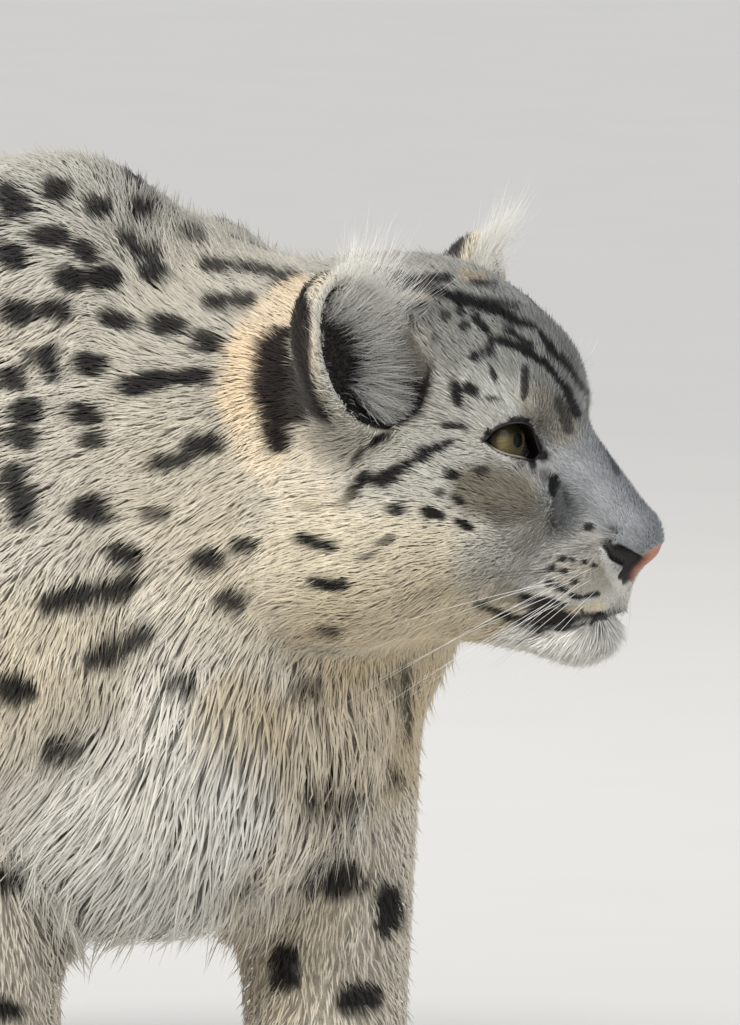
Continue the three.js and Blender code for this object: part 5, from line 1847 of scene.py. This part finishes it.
def lid_rims(side, material):
    """The black edges of both lids, laid round the opening on the skin."""
    axes, centre = eye_frame(side)
    starts, ends = LID_PALE
    share = np.linspace(0, 1, LID_POINTS)
    parts, tones = [], []
    for column, radius in LID_RIMS:
        rows = smooth_curve(LID_ROWS[:, [0, column]], LID_POINTS)
        flat = np.column_stack([-side * rows[:, 0], rows[:, 1], np.zeros(len(rows))])
        inside = from_head(flat @ axes + centre)
        way = np.repeat(turn_from_head(axes[2])[None], len(rows), 0)
        outside = surface_from(inside, way, lid_field, LID_REACH)
        parts.append(tube(outside - way * radius * LID_SUNK, radius))
        pale = (column == 2) * ramp(share, *starts) * (1 - ramp(share, *ends))
        tones.append(np.repeat(lerp(LIP, LID_EDGE, pale[:, None]), TUBE_SIDES, 0))
    points, faces = joined(parts)
    word = "left" if side > 0 else "right"
    return mesh_object(f"lid_rims_{word}", points, faces, material, np.concatenate(tones))


def joined(parts):
    points, faces, first = [], [], 0
    for part_points, part_faces in parts:
        points.append(part_points)
        faces.append(part_faces + first)
        first += len(part_points)
    return np.concatenate(points), np.concatenate(faces)


def lips(material):
    line = smooth_curve(MOUTH_SURFACE, LIP_POINTS)
    whole = np.concatenate([line[::-1] * [1, -1, 1], line[1:]])
    points, faces = tube(from_head(whole * LIP_SUNK), LIP_RADIUS)
    return mesh_object("lips", points, faces, material, np.repeat(LIP[None], len(points), 0))


# Each row of whiskers: its height, its back end and its front end
WHISKER_ROWS = ((-70, 30, 44), (-76, 24, 46), (-82, 20, 44), (-88, 22, 38))
WHITE_HAIR = srgb(240, 240, 236)
DARK_HAIR = srgb(40, 38, 38)
# How a whisker lies at the back of the top row, and what each row down and the front of a row add to it
WHISKER_LIE = np.array([-0.8, 0.5, -0.02])
LOWER_LIE = np.array([0, 0, -0.13])
FRONT_LIE = np.array([0.5, 0.3, -0.1])
WHISKER = {
    "in_row": 5,
    "shift": (-1.5, 1.5),
    "reach": 60,
    "sunk": 1,
    "stray": 0.08,
    "length": 118,
    "shorter": 52,
    "spread": (0.8, 1.15),
    "droop": (-0.26, 0, -0.24),
    "droop_spread": (0.3, 1.2),
    "dark_share": 0.7,
    "radius": 0.2,
    "steps": 12,
}
# The hairs over an eye, by their place from its middle
BROW_HAIR = {
    "count": 6,
    "places": ((2, 12), (-9, 4), (17, 21)),
    "way": np.array([0.6, 0.5, 0.65]),
    "stray": 0.12,
    "length": (30, 52),
    "droop": (-0.25, 0, 0.05),
}


def muzzle_whisker(side, row, height, x, share):
    """A whisker's root, way, length, droop and colour, at a share of its row's length from the back."""
    place = [x + DRAW.uniform(*WHISKER["shift"]), 0, height + DRAW.uniform(*WHISKER["shift"])]
    inside, way = from_head([place]), turn_from_head([[0, side, 0]])
    root = surface_from(inside, way, skin_field, WHISKER["reach"])[0] - way[0] * WHISKER["sunk"]
    lie = unit((WHISKER_LIE + row * LOWER_LIE + share * FRONT_LIE) * [1, side, 1])
    way = unit(turn_from_head(lie) + WHISKER["stray"] * DRAW.normal(size=3))
    length = (WHISKER["length"] - WHISKER["shorter"] * share) * DRAW.uniform(*WHISKER["spread"])
    droop = turn_from_head(WHISKER["droop"]) * length * DRAW.uniform(*WHISKER["droop_spread"])
    dark = row == 0 and share < WHISKER["dark_share"]
    return root, way, length, droop, DARK_HAIR if dark else WHITE_HAIR


def brow_hair(side):
    """A brow hair's root, way, length, droop and colour."""
    place = [DRAW.uniform(*span) for span in BROW_HAIR["places"]]
    stray = BROW_HAIR["stray"] * DRAW.normal(size=3)
    way = unit(turn_from_head(BROW_HAIR["way"] * [1, side, 1]) + stray)
    root = settle(skin_field, from_head([(EYE + place) * [1, side, 1]]))[0]
    length = DRAW.uniform(*BROW_HAIR["length"])
    return root, way, length, turn_from_head(BROW_HAIR["droop"]) * length, WHITE_HAIR


def whiskers(material):
    hairs = []
    for side in SIDES:
        for row, (height, back, front) in enumerate(WHISKER_ROWS):
            for x in np.linspace(back, front, WHISKER["in_row"]):
                hairs.append(muzzle_whisker(side, row, height, x, (x - back) / (front - back)))
        hairs += [brow_hair(side) for _ in range(BROW_HAIR["count"])]
    roots, ways, lengths, droops, colours = map(np.array, zip(*hairs))
    thickness = np.full(len(roots), WHISKER["radius"])
    points, faces, each = hair_tubes(roots, ways, lengths, droops, thickness, WHISKER["steps"])
    return mesh_object("whiskers", points, faces, material, np.repeat(colours, each, 0)), each


# The hairs of an ear, as a value for those inside it and one for the fuzz on its rim
EAR_HAIRS = {
    "count": (2300, 700),
    "turn": ((-1.9, 1.25), (-0.6, 3.4)),
    "length": ((18, 42), (6, 13)),
    "share": (0.35, 0.98),
    "out": (0.85, 0.25),
    "radial": (0.12, 0.5),
    "up": (0.15, 0.7),
    "droop": (1, 0.2),
}
# What all of them share: how many are loose and short, how they scatter and how they bend
EAR_HAIR_TONE = srgb(246, 244, 237)
EAR_HAIR_TONES = (0.92, 1.08)
EAR_HAIR_RADII = (0.18, 0.34)
EAR_HAIR_STEPS = 3
EAR_HAIR_FILL = 0.63
EAR_HAIR_LOOSE = 0.08
ALL_ROUND = (-3.14, 3.14)
EAR_HAIR_STRAY = 0.16
EAR_HAIR_BEND = {"least": 0.15, "more": 0.5, "stray": 0.14, "back": 0.15}


def ear_hairs(material):
    """Long pale hairs that arch out of each ear over its front edge, and fuzz along the rim."""
    roots, ways, lengths, droops = [], [], [], []
    count = sum(EAR_HAIRS["count"])
    fuzz = (np.arange(count) >= EAR_HAIRS["count"][0])[:, None]
    curve = EAR_HAIR_BEND

    def either(key):
        inside, rim = EAR_HAIRS[key]
        return np.where(fuzz, rim, inside)

    for side in SIDES:
        (up, width, out), centre = ear_frame(side)
        inner = side * width
        tall, wide, deep = np.array(EAR["hollow"]) + EAR["lining"]
        turns = [DRAW.uniform(*span, number) for span, number in zip(EAR_HAIRS["turn"], EAR_HAIRS["count"])]
        turn = np.concatenate(turns)[:, None]
        loose = DRAW.random((count, 1)) < EAR_HAIR_LOOSE
        turn = np.where(loose, DRAW.uniform(*ALL_ROUND, (count, 1)), turn)
        share = either("share") + np.where(fuzz, 0, EAR_HAIR_FILL * np.sqrt(DRAW.random((count, 1))))
        radial = up * np.sin(turn) + inner * np.cos(turn)
        floor = -deep * np.sqrt(1 - share * share)
        ring = share * (up * tall * np.sin(turn) + inner * wide * np.cos(turn)) + out * (floor + EAR["shift"])
        long, short = EAR_HAIRS["length"]
        short_lengths = DRAW.uniform(*short, (count, 1))
        length = np.where(fuzz | loose, short_lengths, DRAW.uniform(*long, (count, 1)))
        lean = out * either("out") + radial * either("radial") + up * either("up")
        roots.append(from_head(centre + ring))
        ways.append(turn_from_head(unit(lean + EAR_HAIR_STRAY * DRAW.normal(size=(count, 3)))))
        bend = radial * (curve["least"] + curve["more"] * share)
        bend = bend + curve["stray"] * DRAW.normal(size=(count, 3)) - out * curve["back"]
        droops.append(turn_from_head(bend * length * either("droop")))
        lengths.append(length[:, 0])
    roots, ways, lengths, droops = map(np.concatenate, (roots, ways, lengths, droops))
    roots = settle(skin_field, roots, rounds=1)
    thickness = DRAW.uniform(*EAR_HAIR_RADII, len(roots))
    points, faces, each = hair_tubes(roots, ways, lengths, droops, thickness, EAR_HAIR_STEPS)
    tone = EAR_HAIR_TONE * DRAW.uniform(*EAR_HAIR_TONES, len(roots))[:, None]
    return mesh_object("ear_hairs", points, faces, material, np.repeat(tone, each, 0)), each


FACE_UV = np.array([(0, 0), (1, 0), (0, 1)])


def rooted_uv(item, points, uv, each=None):
    """Gives each hair or face of an object a patch of the bake at the nearest place of the skin."""
    tree = KDTree(len(points))
    for i, point in enumerate(points):
        tree.insert(point, i)
    tree.balance()
    mesh = item.data
    places = np.empty(len(mesh.vertices) * 3, np.float32)
    mesh.vertices.foreach_get("co", places)
    places = (places.reshape(-1, 3) - SHIFT) / MM
    corners = np.empty(len(mesh.loops), np.int32)
    mesh.loops.foreach_get("vertex_index", corners)
    if each:
        first = np.array([uv[tree.find(place)[1]] for place in places[::each]])
        ring, turn = np.divmod(np.arange(each), HAIR_SIDES)
        pattern = np.column_stack([turn / 2 - 0.5, ring * HAIR_SIDES / each - 0.5])
        flat = (first[:, None] + pattern[None] * PATCH).reshape(-1, 2)[corners]
    else:
        first = np.array([uv[tree.find(places[i])[1]] for i in corners[::3]])
        flat = (first[:, None] + FACE_UV[None] * PATCH).reshape(-1, 2)
    set_uv(item, flat)


UNWRAP = {"angle_limit": math.radians(70), "island_margin": 0.0015}


def unwrap(item):
    bpy.context.view_layer.objects.active = item
    item.select_set(True)
    item.data.uv_layers.new(name="OFBake")
    bpy.ops.object.mode_set(mode="EDIT")
    bpy.ops.mesh.select_all(action="SELECT")
    bpy.ops.uv.smart_project(**UNWRAP)
    bpy.ops.object.mode_set(mode="OBJECT")
    item.select_set(False)
    values = np.empty(len(item.data.loops) * 2, np.float32)
    item.data.uv_layers["OFBake"].data.foreach_get("uv", values)
    return values.reshape(-1, 3, 2)


REGIONS = {
    "face": ("forehead", "nose_tip", "nose_bridge", "muzzle", "chin", "brow", "cheekbone", "lip_pad"),
    "cheeks": ("jaw", "cheek", "ruff"),
    "crown": ("cranium", "nape"),
    "ears": ("ear",),
    "neck": ("neck",),
    "shoulders": ("blade", "crest", "arm"),
    "shins": ("forearm", "pastern", "shank", "hock"),
    "paws": ("paw",),
    "trunk": ("trunk",),
    "thighs": ("thigh",),
    "tail": ("tail",),
}
SPIKED = {"face"}
# A tuft has to be clear of the floor, the sole, the lids and the nose pad, and on the head near its plan
CLEAR = {"floor": -2, "sole": 3, "root_to_lids": 1.9, "lids": 0.9, "pad": -0.5, "reach": (0.45, 1.45)}
# How much the tufts differ in light, on the face and crown and elsewhere, and where along one its colours lie
UNEVEN = {"face": 0.2, "elsewhere": 0.08, "limits": (0.6, 1.4)}
COLOUR_PLACES = (0.62, 0.9)


def clear_tufts(tufts):
    """Whether each tuft is clear of the floor, the eyes and the nose, and near its planned reach."""
    clear = (tufts.tip[:, 2] > CLEAR["floor"]) & (tufts.root[:, 2] > CLEAR["sole"])
    clear &= lids_apart(to_head(tufts.root)) > CLEAR["root_to_lids"]
    for points in (tufts.tip, tufts.bend):
        local = to_head(points)
        clear &= lids_apart(local) > CLEAR["lids"]
        clear &= nose_pad(local) > CLEAR["pad"]
    planned = np.hypot(TIP_REACH * tufts.length, tufts.depth)
    reached = np.linalg.norm(tufts.tip - tufts.root, axis=1) / planned
    least, most = CLEAR["reach"]
    return clear & ((tufts.form < FIRST_HEAD) | ((reached > least) & (reached < most)))


def build_coat(skin, coat, uv, seeds, seed_rows, material):
    """Grows the tufts and makes an object of each region of the coat, in parts under the limit."""
    tufts = Tufts(skin, coat, uv)
    tufts.grow()
    tufts = tufts.chosen(clear_tufts(tufts))
    names = FORM_NAMES[tufts.form]
    on_face = np.isin(names, REGIONS["face"] + REGIONS["crown"])
    uneven = np.where(on_face, UNEVEN["face"], UNEVEN["elsewhere"])
    tufts.light = np.clip(1 + uneven * DRAW.normal(size=len(names)), *UNEVEN["limits"])
    places = [lerp(tufts.root, tufts.tip, share) for share in COLOUR_PLACES]
    ends = [painted(place, tufts.normal, tufts.tones, seeds, seed_rows)[0] for place in places]
    colours = np.stack(ends, 1)
    items = []
    for region, members in REGIONS.items():
        flat = region in SPIKED
        chosen = np.flatnonzero(np.isin(names, members))
        chosen = chosen[np.argsort(tufts.root[chosen, 0])]
        faces = len(SPIKE_FACES if flat else LOCK_FACES)
        parts = np.array_split(chosen, math.ceil(faces * len(chosen) / PIECE_LIMIT))
        for number, part in enumerate(parts):
            name = f"coat_{region}_{number + 1}"
            items.append(tuft_object(name, tufts.chosen(part), flat, material, colours[part]))
    return items


# How little is seen of a hidden place, the depth of coat from which its skin takes a darker painted shade,
# and both shades
HIDDEN = 0.15
DEEP_COAT = 7
SKIN_SHADES = (0.88, 0.92)


def build():
    """Builds the whole animal."""
    points, triangles = skin_shape()
    normals, areas = corner_normals(points, triangles)
    main, numbers, tones, flow = coat_rows(points, normals)
    hidden = seen(points, normals) < HIDDEN
    seeds, seed_rows = rosette_seeds(points, FORM_NAMES[main], hidden)
    colours, bare = painted(points, normals, tones, seeds, seed_rows)
    # Painted shade: skin under the coat is darkened, more under deep coat, and bare skin keeps its colour
    shade = np.where(numbers[:, 0] > DEEP_COAT, *SKIN_SHADES)[:, None]
    skin_tone = lerp(colours * shade, colours, bare[:, None])
    skin = mesh_object("skin", points, triangles, skin_material(), skin_tone, values={"bare": bare})
    uv = unwrap(skin)
    coat = (numbers, tones, flow, bare, main)
    items = build_coat((points, triangles, normals, areas), coat, uv, seeds, seed_rows, fur_material())
    dark, hair, wet = hair_material("rim", 0.4), hair_material("hair", 0.45), eye_material()
    eyes = [eyeball(side, wet) for side in SIDES]
    vertex_uv = np.zeros((len(points), 2))
    vertex_uv[triangles] = uv
    edges = [(lid_rims(side, dark), None) for side in SIDES]
    edges += [(lips(dark), None), whiskers(hair), ear_hairs(hair)]
    for item, each in edges:
        rooted_uv(item, points, vertex_uv, each)
        items.append(item)
    flesh = [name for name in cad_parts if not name.startswith("eye_")]
    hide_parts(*flesh)
    for item in [skin, *items, *eyes]:
        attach(item, "root")


# Floor, light and camera. A lamp's place is in metres to the camera's right, toward it and up.
FLOOR_SIZE = 60
STAGE_MIDDLE = (0.2, 0, 0.4)
LAMPS = [
    ("key", "SUN", (-2.1, 2.0, 2.7), 2.6, (1, 0.965, 0.91), {"angle": math.radians(14)}),
    ("fill", "AREA", (2.4, 3.0, 1.8), 42, (0.97, 0.98, 1), {"shape": "DISK", "size": 2.4}),
    ("back", "AREA", (-0.4, -2.6, 2.6), 30, (1, 0.97, 0.92), {"shape": "DISK", "size": 1.6}),
]
WORLD_COLOUR = (0.95, 0.97, 1, 1)
WORLD_STRENGTH = 0.52


def lamp(name, kind, place, power, colour, settings):
    right, toward, up = place
    at = right * RIGHT + toward * unit(BACK * [1, 1, 0]) + [STAGE_MIDDLE[0], 0, up]
    data = bpy.data.lights.new(name, kind)
    data.energy, data.color = power, colour
    for key, value in settings.items():
        setattr(data, key, value)
    item = bpy.data.objects.new(name, data)
    item.location = Vector(at)
    item.rotation_euler = (Vector(STAGE_MIDDLE) - Vector(at)).to_track_quat("-Z", "Y").to_euler()
    bpy.context.scene.collection.objects.link(item)
    return item


def build_stage():
    corners = np.array([(-1, -1, 0), (1, -1, 0), (1, 1, 0), (-1, 1, 0)]) * FLOOR_SIZE / 2 / MM
    floor = mesh_object("floor", corners, [(0, 1, 2, 3)], floor_material())
    [lamp(*row) for row in LAMPS]
    world = bpy.context.scene.world or bpy.data.worlds.new("World")
    bpy.context.scene.world = world
    world.use_nodes = True
    background = world.node_tree.nodes["Background"]
    background.inputs["Color"].default_value = WORLD_COLOUR
    background.inputs["Strength"].default_value = WORLD_STRENGTH
    bpy.context.scene.view_settings.view_transform = "Standard"


SENSOR = 36
CLIP_END = 100


def build_camera():
    data = bpy.data.cameras.new("camera")
    data.lens = PHOTO_SCALE * PHOTO_DISTANCE * SENSOR / PHOTO_SIZE[1]
    data.sensor_width = SENSOR
    data.clip_end = CLIP_END
    item = bpy.data.objects.new("camera", data)
    bpy.context.scene.collection.objects.link(item)
    item.location = Vector(placed(CAMERA_AT))
    item.rotation_euler = Vector(-BACK).to_track_quat("-Z", "Y").to_euler()
    bpy.context.scene.camera = item


build()
build_stage()
build_camera()
